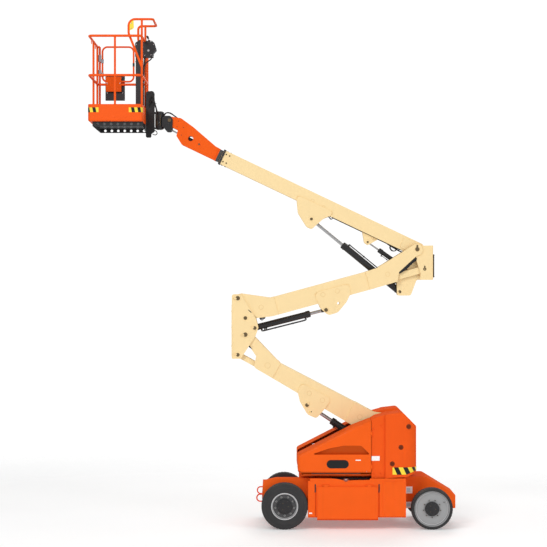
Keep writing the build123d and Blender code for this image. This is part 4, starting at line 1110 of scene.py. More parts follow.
@dataclass
class Chassis:
    """Fittings of the chassis, its doors, its axles and the swing bearing."""

    half: float = 0.545
    narrow_half: float = 0.350
    box_out: float = 0.718
    door_out: float = 0.737
    step: float = 1.794
    swing: tuple[float, float] = (BEARING_X, 0.0)
    ring: float = 0.262
    sill_top: float = 0.6920
    sill_low: float = 0.6575
    steer_z: float = 0.272

    def build(self) -> None:
        """Make every fitting."""
        for side in SIDES:
            self._box_fittings(side)
            self._door_fittings(side)
            self._battery_tops(side)
        self._ends()
        self._bearing()
        self._axles()
        self._welds()

    def _box_fittings(self, side: int) -> None:
        """Latch slots drawn as flat black plates, darker orange lines and strips painted as shade in the corner
        gaps beside the door and along the bottom, plates and bolts of one battery box.

        Args:
            side: Which side of the machine.
        """
        shape = Shape(f"battery_box_fittings_{WORD[side]}", "chassis")
        y = side * self.box_out
        out = OUTWARD[side]
        # Flat black plates stand for the latch slots; their black is painted shade inside the slots.
        for x in (0.566, 1.430):
            shape.plate([(-0.008, -0.060), (0.003, -0.062), (0.008, -0.050), (0.008, 0.050),
                         (0.003, 0.060), (-0.008, 0.056)], (x, y, 0.560), (-side, 0, 0), UP, 0.0015,
                        Coat.BLACK, 0.0005)
            for z in (0.520, 0.596):
                shape.turn([(0, 0.0085), (0.0035, 0.0085), (0.0045, 0.0070)], (x - 0.002, y, z),
                           out, Coat.BLACK, 16)
        # Darker orange lines painted as the shadow in the gaps beside the door.
        for x, z0, thick in ((0.5660, 0.19, 0.0050), (1.4310, 0.17, 0.0045)):
            shape.tube([(x, y, 0.505), (x + 0.0006, y, 0.40), (x, y, z0)], thick, Coat.SHADE, 8)
        # Darker orange strips painted as the shade along the box's bottom edge.
        for x0, x1 in ((0.474, 0.588), (1.418, 1.788)):
            shape.slab((x0, x1), (0.166, 0.177), y, side, (0.001, 0.0016), Coat.SHADE, 0.0006)
        shape.label((0.021, 0.214, 0.232), (0.5015, y, 0.0), side, 0.0014, Coat.WHITE, 0.0004)
        for x in (0.486, 1.505, 1.640, 1.772):
            for z in (0.200, 0.400, 0.630):
                shape.bolt((x, y, z), out, 0.0065, Coat.ORANGE)
        for x0, x1 in ((0.470, 0.560), (1.478, 1.792)):
            shape.bar([(x0, y + side * 0.0005, 0.657), (x1, y + side * 0.0005, 0.657)], 0.0025,
                      Coat.ORANGE)
        shape.bar([(1.4795, y, 0.170), (1.4795, y, 0.655)], 0.003, Coat.ORANGE)
        shape.done()

    def _door_fittings(self, side: int) -> None:
        """Folded edges of one battery door, the bottom one in darker orange as painted shade.

        Args:
            side: Which side of the machine.
        """
        shape = Shape(f"battery_door_fittings_{WORD[side]}", f"battery_door_{WORD[side]}")
        y = side * self.door_out
        # The bottom edge is darker orange, painted shade; the top edge is plain orange.
        for z0, z1, coat in ((0.570, 0.586, Coat.ORANGE), (0.131, 0.148, Coat.SHADE)):
            shape.slab((0.592, 1.414), (z0, z1), y, side, (0.001, 0.003), coat, 0.0012)
        for x0, x1 in ((0.591, 0.600), (1.406, 1.415)):
            shape.slab((x0, x1), (0.149, 0.569), y, side, (0.001, 0.0024), Coat.ORANGE, 0.001)
        shape.done()

    def _battery_tops(self, side: int) -> None:
        """Terminals, caps and leads on the batteries.

        Args:
            side: Which side of the machine.
        """
        shape = Shape(f"battery_leads_{WORD[side]}", "chassis")
        top, y0 = 0.5201, 0.632
        ends = []
        for k in range(4):
            x = 0.620 + k * 0.190
            for dx in (0.03, 0.15):
                shape.turn([(0, 0.012), (0.003, 0.012), (0.004, 0.008), (0.016, 0.007),
                            (0.018, 0.005)], (x + dx, side * (y0 - 0.035), top), UP, Coat.STEEL, 16)
                ends.append((x + dx, side * (y0 - 0.035), top + 0.012))
            for n in range(3):
                shape.turn([(0, 0.013), (0.006, 0.013), (0.009, 0.010), (0.011, 0.004)],
                           (x + 0.045 + n * 0.045, side * (y0 + 0.03), top), UP, Coat.YELLOW, 16)
        for a, b in zip(ends[1::2], ends[2::2]):
            mid = ((a[0] + b[0]) / 2, a[1], a[2] + 0.028)
            shape.tube([a, (a[0] + 0.012, a[1], a[2] + 0.02), mid,
                        (b[0] - 0.012, b[1], b[2] + 0.02), b], 0.0065, Coat.RED)
        shape.done()

    def _ends(self) -> None:
        """Plates and bolts on the narrow walls and sides, and bolts and a strip on the chassis's end."""
        shape = Shape("chassis_fittings", "chassis")
        for side in SIDES:
            y = side * (self.half + 0.0003)
            out = OUTWARD[side]
            wall = side * self.narrow_half
            for z0, z1 in ((0.447, 0.543), (0.250, 0.333)):
                shape.label((0.0535, z0, z1), (1.8555, wall, 0.0), side, 0.0016, Coat.WHITE, 0.0005)
                shape.label((0.026, z0 + 0.020, z1 - 0.022), (1.8555, wall + side * 0.0014, 0.0),
                            side, 0.0008, Coat.PALE_BLUE, 0.0002)
            for x, z in ((2.02, 0.60), (2.28, 0.50), (1.90, 0.44), (2.42, 0.30)):
                shape.bolt((x, wall, z), out, 0.0075, Coat.ORANGE)
            for dy in (-0.075, 0.075):
                shape.bolt((-0.150, side * 0.440 + dy, 0.400), AHEAD, 0.009)
            shape.block((-0.156, side * 0.440 - 0.095, 0.340),
                        (-0.1495, side * 0.440 + 0.095, 0.352), Coat.ORANGE)
            for x in (0.24, 0.40):
                shape.bolt((x, y, 0.50), out, 0.0075, Coat.ORANGE)
        for y0 in (-0.28, -0.14, 0.0, 0.14, 0.28):
            shape.bolt((-0.1499, y0 * 1.1, 0.300), AHEAD, 0.0075, Coat.ORANGE)
        shape.done()

    def _bearing(self) -> None:
        """Bolts and teeth of the swing bearing, and the swing lock."""
        x, y = self.swing
        shape = Shape("bearing_fittings", "chassis")
        shape.ring_of_bolts((x, y, 0.7121), UP, 0.232, 24, 0.009, Coat.PIN)
        teeth = 96
        for k in range(teeth):
            a = 2 * math.pi * k / teeth
            out = Vector((math.cos(a), math.sin(a), 0))
            across = Vector((-math.sin(a), math.cos(a), 0))
            root = Vector((x, y, 0.683)) + out * (self.ring - 0.001)
            rings = [[root + across * w + out * d + Vector((0, 0, h))
                      for w, d in ((-0.0062, 0), (0.0062, 0), (0.0035, 0.012), (-0.0035, 0.012))]
                     for h in (0.0, 0.022)]
            shape.skin(rings, Coat.PIN)
        shape.done()
        for side in SIDES:
            self._sill(side)

    def _sill(self, side: int) -> None:
        """The sill on top of one battery box, which dips past the bearing, a black plate behind the dip painted as
        the shade of the gap under the turntable, and the lock there.

        Args:
            side: Which side of the machine.
        """
        top, low = self.sill_top, self.sill_low
        sill = Shape(f"sill_{WORD[side]}", "chassis")
        dip = [(0.790, top), (0.855, 0.6870), (0.915, 0.6760), (0.960, 0.6660), (1.000, 0.6620),
               (1.040, 0.6630), (1.080, 0.6680), (1.160, 0.6710), (1.300, 0.6730), (1.312, top)]
        rows = [(0.486, low), (0.486, 0.6840), (0.496, top), *dip, (1.782, top), (1.792, 0.6840),
                (1.792, low)]
        for a, b in zip(rows[2:], rows[3:-1]):
            strip = [(a[0], low), (b[0], low), (b[0], b[1]), (a[0], a[1])]
            ring = [[Vector((x, side * out, z)) for x, z in strip] for out in (0.700, 0.7165)]
            sill.skin(ring, Coat.ORANGE)
        sill.bar([(x, side * 0.7135, z - 0.0030) for x, z in rows[1:-1]], 0.0030, Coat.ORANGE)
        # A black plate behind the dip, painted as the shade in the gap under the turntable.
        sill.slab((0.792, 1.310), (0.6620, top), side * 0.600, side, (0.006, 0.0), Coat.BLACK_GLOSS,
                  0.002)
        if side < 0:
            sill.block((0.950, -0.722, 0.6560), (1.012, -0.704, 0.6915), Coat.LOCK, 0.004)
            sill.block((0.972, -0.728, 0.6500), (0.990, -0.714, 0.6780), Coat.LOCK, 0.003)
            sill.turn([(0, 0.0085), (0.006, 0.0085), (0.008, 0.0065)], (0.981, -0.7215, 0.680),
                      NEARWARD, Coat.PALE_GREY, 20)
        sill.done()

    def _axles(self) -> None:
        """Drive motors' bolts and hoses, and the front beam's fittings."""
        shape = Shape("axle_fittings", "chassis")
        for side, out in OUTWARD.items():
            shape.ring_of_bolts((REAR_X, side * (self.half - 0.100), REAR_Z), (0, -side, 0), 0.088,
                                10, 0.008)
            for n, dz in enumerate((0.05, 0.0, -0.05)):
                start = (REAR_X + 0.11, side * 0.47, REAR_Z + dz)
                shape.turn([(0, 0.014), (0.012, 0.014), (0.016, 0.010)], start, TAILWARD,
                           Coat.STEEL, 6)
                shape.tube([start, (0.33, side * 0.465, 0.33 + dz),
                            (0.42, side * (0.40 - 0.03 * n), 0.40 + dz * 0.5),
                            (0.60, side * (0.30 - 0.03 * n), 0.60)], 0.009, Coat.HOSE)
            shape.ring_of_bolts((FRONT_X, side * 0.38, 0.3424), UP, 0.035, 4, 0.008, Coat.PIN,
                                math.pi / 4)
            for z, way in ((0.3426, 1), (0.2224, -1)):
                shape.turn([(0, 0.024), (0.004, 0.024), (0.006, 0.021), (0.006, 0.008),
                            (0.010, 0.006)], (FRONT_X, side * 0.520, z), (0, 0, way), Coat.PIN, 24)
        x, z = FRONT_X - 0.085, self.steer_z
        shape.bar([(x, -0.24, z), (x, 0.24, z)], 0.026, Coat.BLACK, 20)
        shape.bar([(x, 0.24, z), (x, 0.36, z)], 0.012, Coat.CHROME, 16)
        for y0 in (-0.20, 0.20):
            shape.block((2.03, y0 - 0.02, 0.250), (2.095, y0 + 0.02, 0.296), Coat.BLACK, 0.004)
            shape.tube([(2.062, y0, 0.296), (2.06, y0 * 0.9, 0.34), (2.00, y0 * 0.6, 0.42),
                        (1.85, y0 * 0.4, 0.52)], 0.007, Coat.HOSE)
        shape.done()
        for side in SIDES:
            knuckle = Shape(f"knuckle_fittings_{WORD[side]}", f"knuckle_{WORD[side]}")
            out = OUTWARD[side]
            knuckle.ring_of_bolts((FRONT_X, side * 0.5681, FRONT_Z), out, 0.030, 6, 0.006, Coat.PIN)
            knuckle.turn([(0, 0.013), (0.006, 0.013), (0.012, 0.009)],
                         (FRONT_X - 0.150, side * 0.520, 0.2512), UP, Coat.STEEL, 6)
            knuckle.done()

    def _welds(self) -> None:
        """Weld beads along the chassis's main seams."""
        shape = Shape("chassis_welds", "chassis")
        for side in SIDES:
            shape.bar([(self.step, side * self.narrow_half, 0.250),
                       (self.step, side * self.narrow_half, 0.676)], 0.005, Coat.ORANGE)
            shape.bar([(0.470, side * (self.half + 0.001), 0.661),
                       (self.step - 0.004, side * (self.half + 0.001), 0.661)], 0.004, Coat.ORANGE)
        shape.done()


# ---- turntable -------------------------------------------------------------------------------

@dataclass
class Turntable:
    """Fittings of the turntable, its hoods, its counterweight and its power pack."""

    hood_out: float = 0.690
    weight_out: float = 0.700
    pack_floor: float = 1.010
    band_out: float = 0.672
    tail: float = 1.947
    corner: float = 0.190
    stripe: float = 0.125
    recesses: tuple[Row, ...] = ((1.832, 1.393), (1.727, 1.113), (1.609, 0.890))

    def build(self) -> None:
        """Make every fitting."""
        for side in SIDES:
            self._hood_fittings(side)
            self._hazard_band(side)
        self._weight_fittings()
        self._power_pack()
        self._deck()

    def _hood_fittings(self, side: int) -> None:
        """Badge, label, a latch, pairs of bolts and an edge roll of one hood.

        Args:
            side: Which side of the machine.
        """
        y, out = side * self.hood_out, OUTWARD[side]
        shape = Shape(f"hood_fittings_{WORD[side]}", f"hood_{WORD[side]}")
        mid, high, half, r = 0.870, 0.8840, 0.1500, 0.0565
        pill = [(dx + r * math.cos(a), r * math.sin(a))
                for dx, span in ((half - r, (-90, 90)), (r - half, (90, 270)))
                for a in (math.radians(span[0] + (span[1] - span[0]) * k / 12) for k in range(13))]
        shape.plate(pill, (mid, y, high), (-side, 0, 0), UP, 0.003, Coat.BLACK_GLOSS, 0.0010)
        shape.label((0.036, -0.007, 0.007), (1.148, y, 0.938), side, 0.0014, Coat.WHITE, 0.0004)
        low = 0.7445
        shape.bar([(0.40, y - side * 0.004, low), (1.318, y - side * 0.004, low)], 0.0036,
                  Coat.ORANGE_SHELL)
        self._latch(shape, (1.262, y, 0.785), side)
        for z in (0.850, 1.300):
            for dz in (-0.011, 0.011):
                shape.bolt((1.314, side * (self.hood_out + 0.0003), z + dz), out, 0.0045,
                           Coat.ORANGE_SHELL, washer=False)
        shape.done()

    def _latch(self, shape: Shape, place: Point, side: int) -> None:
        """A flush turn latch in a round cup.

        Args:
            shape: The shape that takes them.
            place: The latch's middle.
            side: Which side of the machine.
        """
        out = OUTWARD[side]
        shape.turn([(0, 0.014), (0.0022, 0.0138), (0.003, 0.0125), (0.003, 0.0100),
                    (0.0012, 0.0092)], place, out, Coat.ORANGE_SHELL, 28)
        x, y, z = place
        shape.slab((x - 0.0025, x + 0.0025), (z - 0.008, z + 0.008), y, side, (0.0, 0.0040),
                   Coat.STEEL, 0.001)

    def _band_place(self, s: float, side: int, lift: float = 0.0) -> tuple[Vector, float]:
        """A place on the counterweight's skin, a distance round from the band's start.

        Args:
            s: The distance, in metres.
            side: Which cheek.
            lift: How far out of the skin.

        Returns:
            The place at height zero, and its X.
        """
        flat = self.tail - self.corner - BAND_X
        arc = self.corner * math.pi / 2
        if s <= flat:
            return Vector((BAND_X + s, side * (self.weight_out + lift), 0)), BAND_X + s
        if s <= flat + arc:
            a = (s - flat) / self.corner
            r = self.corner + lift
            x = self.tail - self.corner + r * math.sin(a)
            return Vector((x, side * (self.weight_out - self.corner + r * math.cos(a)), 0)), x
        return Vector((self.tail + lift, side * (self.weight_out - self.corner - (s - flat - arc)),
                       0)), self.tail

    def _hazard_band(self, side: int) -> None:
        """Black and yellow blocks that follow the cheek round its corner.

        Args:
            side: Which side of the machine.
        """
        shape = Shape(f"hazard_band_{WORD[side]}", "turntable")
        total = self.tail - self.corner - BAND_X + self.corner * math.pi / 2 + 0.235
        high, rows, steps = 0.842, 3, 6
        half, lean = self.stripe / 2, -0.045

        def low_at(x: float) -> float:
            """The band's lower edge, which rises with the cheek."""
            return 0.744 if x < 1.80 else 0.744 + (x - 1.80) / (self.tail - 1.80) * 0.052

        def spot(s: float, part: float, lift: float) -> Vector:
            """A place on the band, from its start and from its lower edge up."""
            probe = min(max(s + part * lean, 0.0), total)
            _, x = self._band_place(probe, side)
            place, _ = self._band_place(probe, side, lift)
            return Vector((place.x, place.y, low_at(x) + (high - low_at(x)) * part))

        for block in range(int((total - lean) / half) + 1):
            coat = Coat.BLACK_GLOSS if block % 2 else Coat.YELLOW
            low, top = block * half, min((block + 1) * half, total - lean)
            if top - low < 0.004:
                continue
            grid, ground = ([[spot(low + (top - low) * k / steps, n / rows, lift)
                              for n in range(rows + 1)] for k in range(steps + 1)]
                            for lift in (0.0034, 0.0004))
            self.patch(shape, grid, ground, coat)
        shape.done()

    @staticmethod
    def patch(shape: Shape, grid: list[list[Vector]], ground: list[list[Vector]],
              coat: Coat) -> None:
        """A thin curved tile between two grids of points.

        Args:
            shape: The shape to add it to.
            grid: The outer points, column by column.
            ground: The inner points, in the same order.
            coat: The finish.
        """
        index = shape.slot(coat)
        last, top = len(grid) - 1, len(grid[0]) - 1
        around = ([(k, 0) for k in range(last)] + [(last, n) for n in range(top)]
                  + [(k, top) for k in range(last, 0, -1)] + [(0, n) for n in range(top, 0, -1)])
        verts = {(layer, k, n): shape.mesh.verts.new(points[k][n])
                 for layer, points in enumerate((grid, ground)) for k in range(last + 1)
                 for n in range(top + 1)}
        corners = ((0, 0), (1, 0), (1, 1), (0, 1))
        faces = [shape.mesh.faces.new([verts[layer, k + a, n + b] for a, b in corners])
                 for layer in (0, 1) for k in range(last) for n in range(top)]
        faces += [shape.mesh.faces.new([verts[0, *a], verts[0, *b], verts[1, *b], verts[1, *a]])
                  for a, b in zip(around, around[1:] + around[:1])]
        for face in faces:
            face.material_index, face.smooth = index, True

    def _weight_fittings(self) -> None:
        """Cups and caps in the recesses, in dark orange as painted shade, blank plates, lifting plugs and fixing
        bolts.
        """
        shape = Shape("counterweight_fittings", "turntable")
        for side, out in OUTWARD.items():
            for x, z in self.recesses:
                back = (x, side * 0.6703, z)
                # The recess cup and cap are dark orange, painted as the shade in the recess.
                shape.turn([(0, 0.0338), (0.022, 0.0336), (0.0245, 0.0315), (0.0245, 0.0190),
                            (0.016, 0.0170)], back, out, Coat.RECESS_SHADE, 40)
                shape.turn([(0, 0.0125), (0.006, 0.0125), (0.0075, 0.0105)], (x, side * 0.6863, z),
                           out, Coat.RECESS_SHADE, 6)
            x0, x1, z0, z1 = 1.330, 1.440, 0.930, 0.992
            shape.plate([(x0, z0), (x1, z0), (x1, z1), (x0, z1)], (0, side * self.band_out, 0),
                        TAILWARD, UP, -side * 0.0016, Coat.WHITE, 0.0005)
            for x, z in ((1.36, 0.76), (1.46, 0.76), (1.36, 1.36), (1.46, 1.40)):
                shape.bolt((x, side * self.band_out, z), out, 0.010, Coat.ORANGE_CAST)
            for x in (1.56, 1.70):
                shape.turn([(0, 0.016), (0.004, 0.016), (0.005, 0.013), (0.005, 0.008),
                            (0.002, 0.007)], (x, side * 0.45, 1.5625 + (x - 1.56) * 0.117),
                           (-0.117, 0, 1), Coat.ORANGE_CAST, 24)
        shape.bar([(self.tail + 0.0005, -0.20, 0.768), (self.tail + 0.0005, 0.20, 0.768)], 0.004,
                  Coat.ORANGE_CAST)
        shape.done()

    def _power_pack(self) -> None:
        """Motor, pump, filter and filler on the pack's blocks, with their hoses."""
        shape = Shape("power_pack_fittings", "turntable")
        floor, motor = self.pack_floor, Vector((0.66, -0.42, 1.077))
        shape.turn([(0, 0.052), (0.004, 0.064), (0.04, 0.066), (0.045, 0.062), (0.205, 0.062),
                    (0.21, 0.066), (0.25, 0.064), (0.255, 0.05)], motor, TAILWARD, Coat.PACK, 40)
        for k in range(14):
            a = 2 * math.pi * k / 14
            u = Vector((0, math.cos(a), math.sin(a)))
            base = motor + Vector((0.050, 0, 0)) + u * 0.0615
            side = Vector((0, -math.sin(a), math.cos(a)))
            rings = [[base + side * w + u * d + Vector((x, 0, 0))
                      for w, d in ((-0.0025, 0), (0.0025, 0), (0.0018, 0.008), (-0.0018, 0.008))]
                     for x in (0, 0.150)]
            shape.skin(rings, Coat.PACK)
        shape.block((0.905, -0.475, 1.035), (1.01, -0.365, 1.139), Coat.PACK, 0.006)
        shape.ring_of_bolts((1.0102, -0.42, 1.087), TAILWARD, 0.038, 4, 0.007, Coat.STEEL,
                            math.pi / 4)
        for x in (0.70, 0.84):
            shape.block((x, -0.46, floor), (x + 0.02, -0.38, 1.02), Coat.BLACK)
        shape.turn([(0, 0.035), (0.02, 0.035), (0.024, 0.042), (0.045, 0.042), (0.05, 0.036)],
                   (0.70, 0.43, floor), UP, Coat.BLACK)
        shape.turn([(0, 0.045), (0.012, 0.045), (0.016, 0.038), (0.10, 0.038), (0.11, 0.03),
                    (0.112, 0.012)], (0.95, 0.43, floor), UP, Coat.WHITE, 36)
        shape.turn([(0, 0.012), (0.012, 0.012)], (0.60, 0.35, floor), UP, Coat.STEEL, 6)
        for n, y in enumerate((-0.45, -0.42, -0.39)):
            shape.tube([(0.96, y, 1.138), (0.97, y + 0.02, 1.165), (1.05, y + 0.06, 1.15),
                        (1.13, y + 0.12, 1.06), (1.16, y + 0.20, 0.90),
                        (1.165, y + 0.25 + 0.01 * n, 0.745)], 0.010, Coat.HOSE, 12)
        shape.tube([(0.95, 0.43, 1.12), (0.97, 0.40, 1.15), (1.06, 0.34, 1.12), (1.12, 0.28, 0.98),
                    (1.15, 0.22, 0.80), (1.15, 0.20, 0.745)], 0.012, Coat.HOSE, 12)
        for y0, y1 in ((-0.6, -0.26), (0.26, 0.6)):
            for x in (0.56, 1.14):
                for y in (y0 + 0.04, y1 - 0.04):
                    shape.bolt((x, y, 1.0101), UP, 0.008)
            rim = [(0.522, y0 + 0.002), (1.178, y0 + 0.002), (1.178, y1 - 0.002),
                   (0.522, y1 - 0.002)]
            shape.bar([(x, y, floor + 0.001) for x, y in rim], 0.003, Coat.PACK, loop=True)
        for n in range(5):
            z = 0.80 + n * 0.034
            for y0, y1 in ((0.5995, 0.604), (-0.604, -0.5995)):
                shape.block((0.60, y0, z), (0.95, y1, z + 0.016), Coat.BLACK)
        shape.done()

    def _deck(self) -> None:
        """Weld beads, bolts, fittings and hoses on the turntable's plate."""
        shape = Shape("turntable_fittings", "turntable")
        for side in SIDES:
            for y in (0.163, 0.178):
                shape.bar([(0.72, side * y, 0.739), (1.895, side * y, 0.739)], 0.0045, Coat.ORANGE)
            for x in (1.26, 1.46):
                shape.bolt((x, side * 0.35, 0.7371), UP, 0.011, Coat.ORANGE)
            for n in range(2):
                y = side * (0.19 + n * 0.0001)
                shape.tube([(1.16, side * 0.182, 0.75 + n * 0.03), (1.24, y, 0.80 + n * 0.03),
                            (1.38, y, 0.93 + n * 0.03), (1.52, y, 1.10 + n * 0.03),
                            (1.62, y, 1.22 + n * 0.03)], 0.0085, Coat.HOSE)
        shape.ring_of_bolts((BEARING_X, 0, 0.7371), UP, 0.215, 16, 0.010, Coat.PIN)
        shape.turn([(0, 0.075), (0.02, 0.075), (0.026, 0.068), (0.05, 0.062), (0.055, 0.03)],
                   (BEARING_X, 0, BASE_Z), UP, Coat.BLACK, 40)
        for n, a in enumerate((0.4, 1.3, 2.2)):
            p = Vector((BEARING_X + 0.045 * math.cos(a), 0.045 * math.sin(a), 0.785))
            q = Vector((0.99 - 0.03 * n, 0.05 * (n - 1), 0.752))
            shape.tube([p, p + Vector((0, 0, 0.03)), (p + q) / 2 + Vector((0, 0, 0.04)), q], 0.008,
                       Coat.HOSE)
        shape.block((0.84, -0.09, BASE_Z), (0.98, 0.09, 0.770), Coat.BLACK, 0.004)
        shape.turn([(0, 0.048), (0.03, 0.048), (0.034, 0.044), (0.09, 0.044), (0.094, 0.03)],
                   (0.75, 0.0, BASE_Z), UP, Coat.BLACK, 28)
        shape.done()


# ---- arms ------------------------------------------------------------------------------------

def pin_cap(shape: Shape, place: Vector, side: int, radius: float, out: float,
            coat: Coat = Coat.PIN, keeper: Optional[float] = None,
            plate: Coat = Coat.CREAM) -> None:
    """The end of a pin: a chamfered cap with a centre hole, and a keeper plate beside it.

    Args:
        shape: The shape to add it to.
        place: The pin's centre.
        side: Which side of the machine.
        radius: The pin's radius.
        out: How far from the middle the pin's end is.
        coat: The cap's finish.
        keeper: The angle of the keeper plate, in degrees, or None.
        plate: The keeper's finish.
    """
    face, axis = Vector((place.x, side * out, place.z)), OUTWARD[side]
    r = radius
    shape.turn([(0, r * 0.99), (0.0030, r * 0.99), (0.0045, r * 0.92), (0.0045, r * 0.30),
                (0.0020, r * 0.24), (0.0020, r * 0.05)], face, axis, coat, 36)
    if keeper is None:
        return
    a = math.radians(keeper)
    far = Vector((math.cos(a), 0, math.sin(a)))
    up = Vector((-math.sin(a), 0, math.cos(a)))
    wide = min(0.011, r * 0.42)
    rows = [(r * 0.55, -wide), (r * 1.75, -wide), (r * 2.05, -wide * 0.5), (r * 2.05, wide * 0.5),
            (r * 1.75, wide), (r * 0.55, wide)]
    if far.cross(up).y * side < 0:
        up = -up
    shape.plate(rows, face + Vector((0, side * 0.0003, 0)), far, up, 0.0048, plate, 0.0008)
    if plate is not coat:
        shape.bolt(face + far * r * 1.66 + Vector((0, side * 0.0048, 0)), axis, wide * 0.55, plate)


def bead(shape: Shape, member: Member, rows: Sequence[Row], y: float, coat: Coat,
         size: float = 0.0040) -> None:
    """A weld bead on both sides of a member, along a line of along and up places."""
    for side in SIDES:
        shape.bar([member.at(d / 1000, u / 1000, side * y) for d, u in rows], size, coat)


def plug_weld(shape: Shape, member: Member, row: Row, radius: float, y: float) -> None:
    """A round plug weld, ground nearly flush, on both sides of a member."""
    for side in SIDES:
        shape.turn([(0, radius), (0.0012, radius), (0.0020, radius - 0.0016),
                    (0.0010, radius - 0.0042), (0, radius - 0.0048)],
                   member.at(row[0] / 1000, row[1] / 1000, side * y), OUTWARD[side], Coat.SEAM, 40,
                   OPEN)


@dataclass
class Tower:
    """Fittings of the two arms and of the uprights that join them."""

    fork: float = 0.157
    tube: float = 0.145
    boss: float = 0.163
    outer: float = 0.183
    cheek: float = 0.178
    lower: float = 2.540
    upper: float = 2.577

    def build(self) -> None:
        """Make every fitting."""
        self._lower_arm()
        self._upper_arm()
        self._first_upright()
        self._second_upright()
        self._links()

    def _lower_arm(self) -> None:
        """Welds, plug welds, bosses and the cylinder's pin on the lower arm."""
        shape, tip = Shape("lower_arm_fittings", "lower_arm"), self.lower * 1000
        wall = self.tube + 0.001
        bead(shape, LOWER, [(452, -83), (745, -84), (758, -95), (758, -372)], wall, Coat.CREAM)
        bead(shape, LOWER, [(tip - 621, -346), (tip - 621, -116), (tip - 570, -103)], wall,
             Coat.CREAM)
        bead(shape, LOWER, [(1090, -356), (1090, -215), (1120, -200), (1500, -208), (1530, -225),
                            (1516, -345)], wall, Coat.CREAM)
        plug_weld(shape, LOWER, (tip - 476, -226), 0.040, self.fork)
        plug_weld(shape, LOWER, (600, -230), 0.036, self.fork)
        for row in ((1372, -281), (1166, -278)):
            plug_weld(shape, LOWER, row, 0.034, self.fork)
        for side, out in OUTWARD.items():
            pin_cap(shape, LOWER_LUG, side, 0.026, self.boss, Coat.PIN, 50)
            for d, u in ((1.240, -0.505), (1.222, -0.492)):
                shape.turn([(0, 0.0075), (0.0016, 0.0075), (0.0022, 0.0062)],
                           LOWER.at(d, u, side * self.fork), out, Coat.YELLOW if d > 1.23
                           else Coat.BLACK, 16)
            for d in (0.0, self.lower):
                shape.turn(BOSS_RING, LOWER.at(d, 0, side * self.fork), out, Coat.CREAM, 40, OPEN)
        shape.done()

    def _upper_arm(self) -> None:
        """Welds, bosses, the cylinder's pin, the foot's hose loop, and a black plate painted as the shadow in the
        gap at the tip, on the upper arm.
        """
        shape, tip = Shape("upper_arm_fittings", "upper_arm"), self.upper * 1000
        wall = self.tube + 0.001
        bead(shape, UPPER, [(442, -112), (486, -112), (486, -367)], wall, Coat.CREAM)
        bead(shape, UPPER, [(tip - 776, -367), (tip - 776, -113), (tip - 640, -107)], wall,
             Coat.CREAM)
        bead(shape, UPPER, [(1072, -364), (1044, -225), (1070, -211), (1510, -211), (1538, -225),
                            (1526, -345)], wall, Coat.CREAM)
        for row in ((278, -206), (tip - 486, -225), (1151, -262), (1356, -267)):
            plug_weld(shape, UPPER, row, 0.033, self.fork)
        for side, out in OUTWARD.items():
            pin_cap(shape, UPPER_LUG, side, 0.026, self.boss)
            shape.turn(BOSS_RING, UPPER.at(0, 0, side * self.fork), out, Coat.CREAM, 40, OPEN)
        for side in SIDES:
            y = side * 0.1500
            root = UPPER.at(0, 0, y + 0.003)
            a, b = UPPER.at(0.222, -0.3500, y), UPPER.at(0.272, -0.3530, y)
            low = -UPPER.up_axis
            shape.tube([a, a + low * 0.012, a.lerp(b, 0.2) + low * 0.026,
                        a.lerp(b, 0.5) + low * 0.032, a.lerp(b, 0.8) + low * 0.026, b + low * 0.012,
                        b], 0.0036, Coat.HOSE)
            rows = [(0.212, -0.344), (0.300, -0.350), (0.296, -0.366), (0.282, -0.376),
                    (0.268, -0.368), (0.222, -0.364)]
            shape.plate(rows, root, *UPPER.axes, 0.006, Coat.BLACK, 0.001)
            # A black plate in pad rubber, painted as the shadow in the gap inside the arm's tip.
            shadow_wedge = [(0.337, -0.236), (0.197, -0.170), (0.050, -0.098), (0.037, -0.125),
                    (0.062, -0.152), (0.107, -0.170), (0.177, -0.208), (0.262, -0.248),
                    (0.325, -0.262)]
            shape.plate([(self.upper - d, u) for d, u in shadow_wedge], root, *UPPER.axes, 0.006,
                        Coat.BUMPER, 0.001)
        shape.done()

    def _first_upright(self) -> None:
        """Pin caps, keepers and stiffener welds of the first upright, and black plates painted as the shade in a
        slit and a gap.
        """
        shape = Shape("upright_1_fittings", "upright_1")
        tip = LOWER.at(self.lower, 0)
        low_link, top_link = tip + LOWER_LINK, UPPER.start + UPPER_LINK
        base = tip + MID_BASE
        for side in SIDES:
            for place, radius, keeper in ((tip, 0.030, 190), (UPPER.start, 0.030, 190),
                                          (low_link, 0.025, 170), (top_link, 0.025, None),
                                          (base, 0.025, 160)):
                pin_cap(shape, place, side, radius, self.outer, Coat.PIN, keeper)
                self._collar(shape, place, side, radius)
            x0 = tip.x - 0.188
            shape.bar([(x0 + 0.001, side * self.cheek, tip.z - 0.300),
                       (x0 + 0.001, side * self.cheek, tip.z + 0.41)], 0.004, Coat.CREAM)
            top = UPPER.start + Vector((0, side * (self.cheek + 0.0001), 0))
            # Black plates painted as the shade in a slit and in a wedge-shaped gap below the upper arm's pin.
            for rows in ([(0.140, -0.163), (0.149, -0.158), (0.192, -0.193), (0.184, -0.203)],
                         [(0.124, -0.652), (0.148, -0.640), (0.205, -0.706), (0.172, -0.690)]):
                deep = 0.0016 if rows[0][1] > -0.5 else 0.005
                base_y = Vector((0, 0 if deep < 0.002 else -side * 0.004, 0))
                shape.plate(rows, top + base_y + Vector((0, deep / 2, 0)), TAILWARD, UP, deep,
                            Coat.BLACK, 0.0004)
        for z in (tip.z - 0.16, tip.z + 0.10, tip.z + 0.32):
            for y in (-0.11, 0.11):
                shape.bolt((tip.x - 0.1881, y, z), AHEAD, 0.0085, Coat.CREAM)
        shape.done()

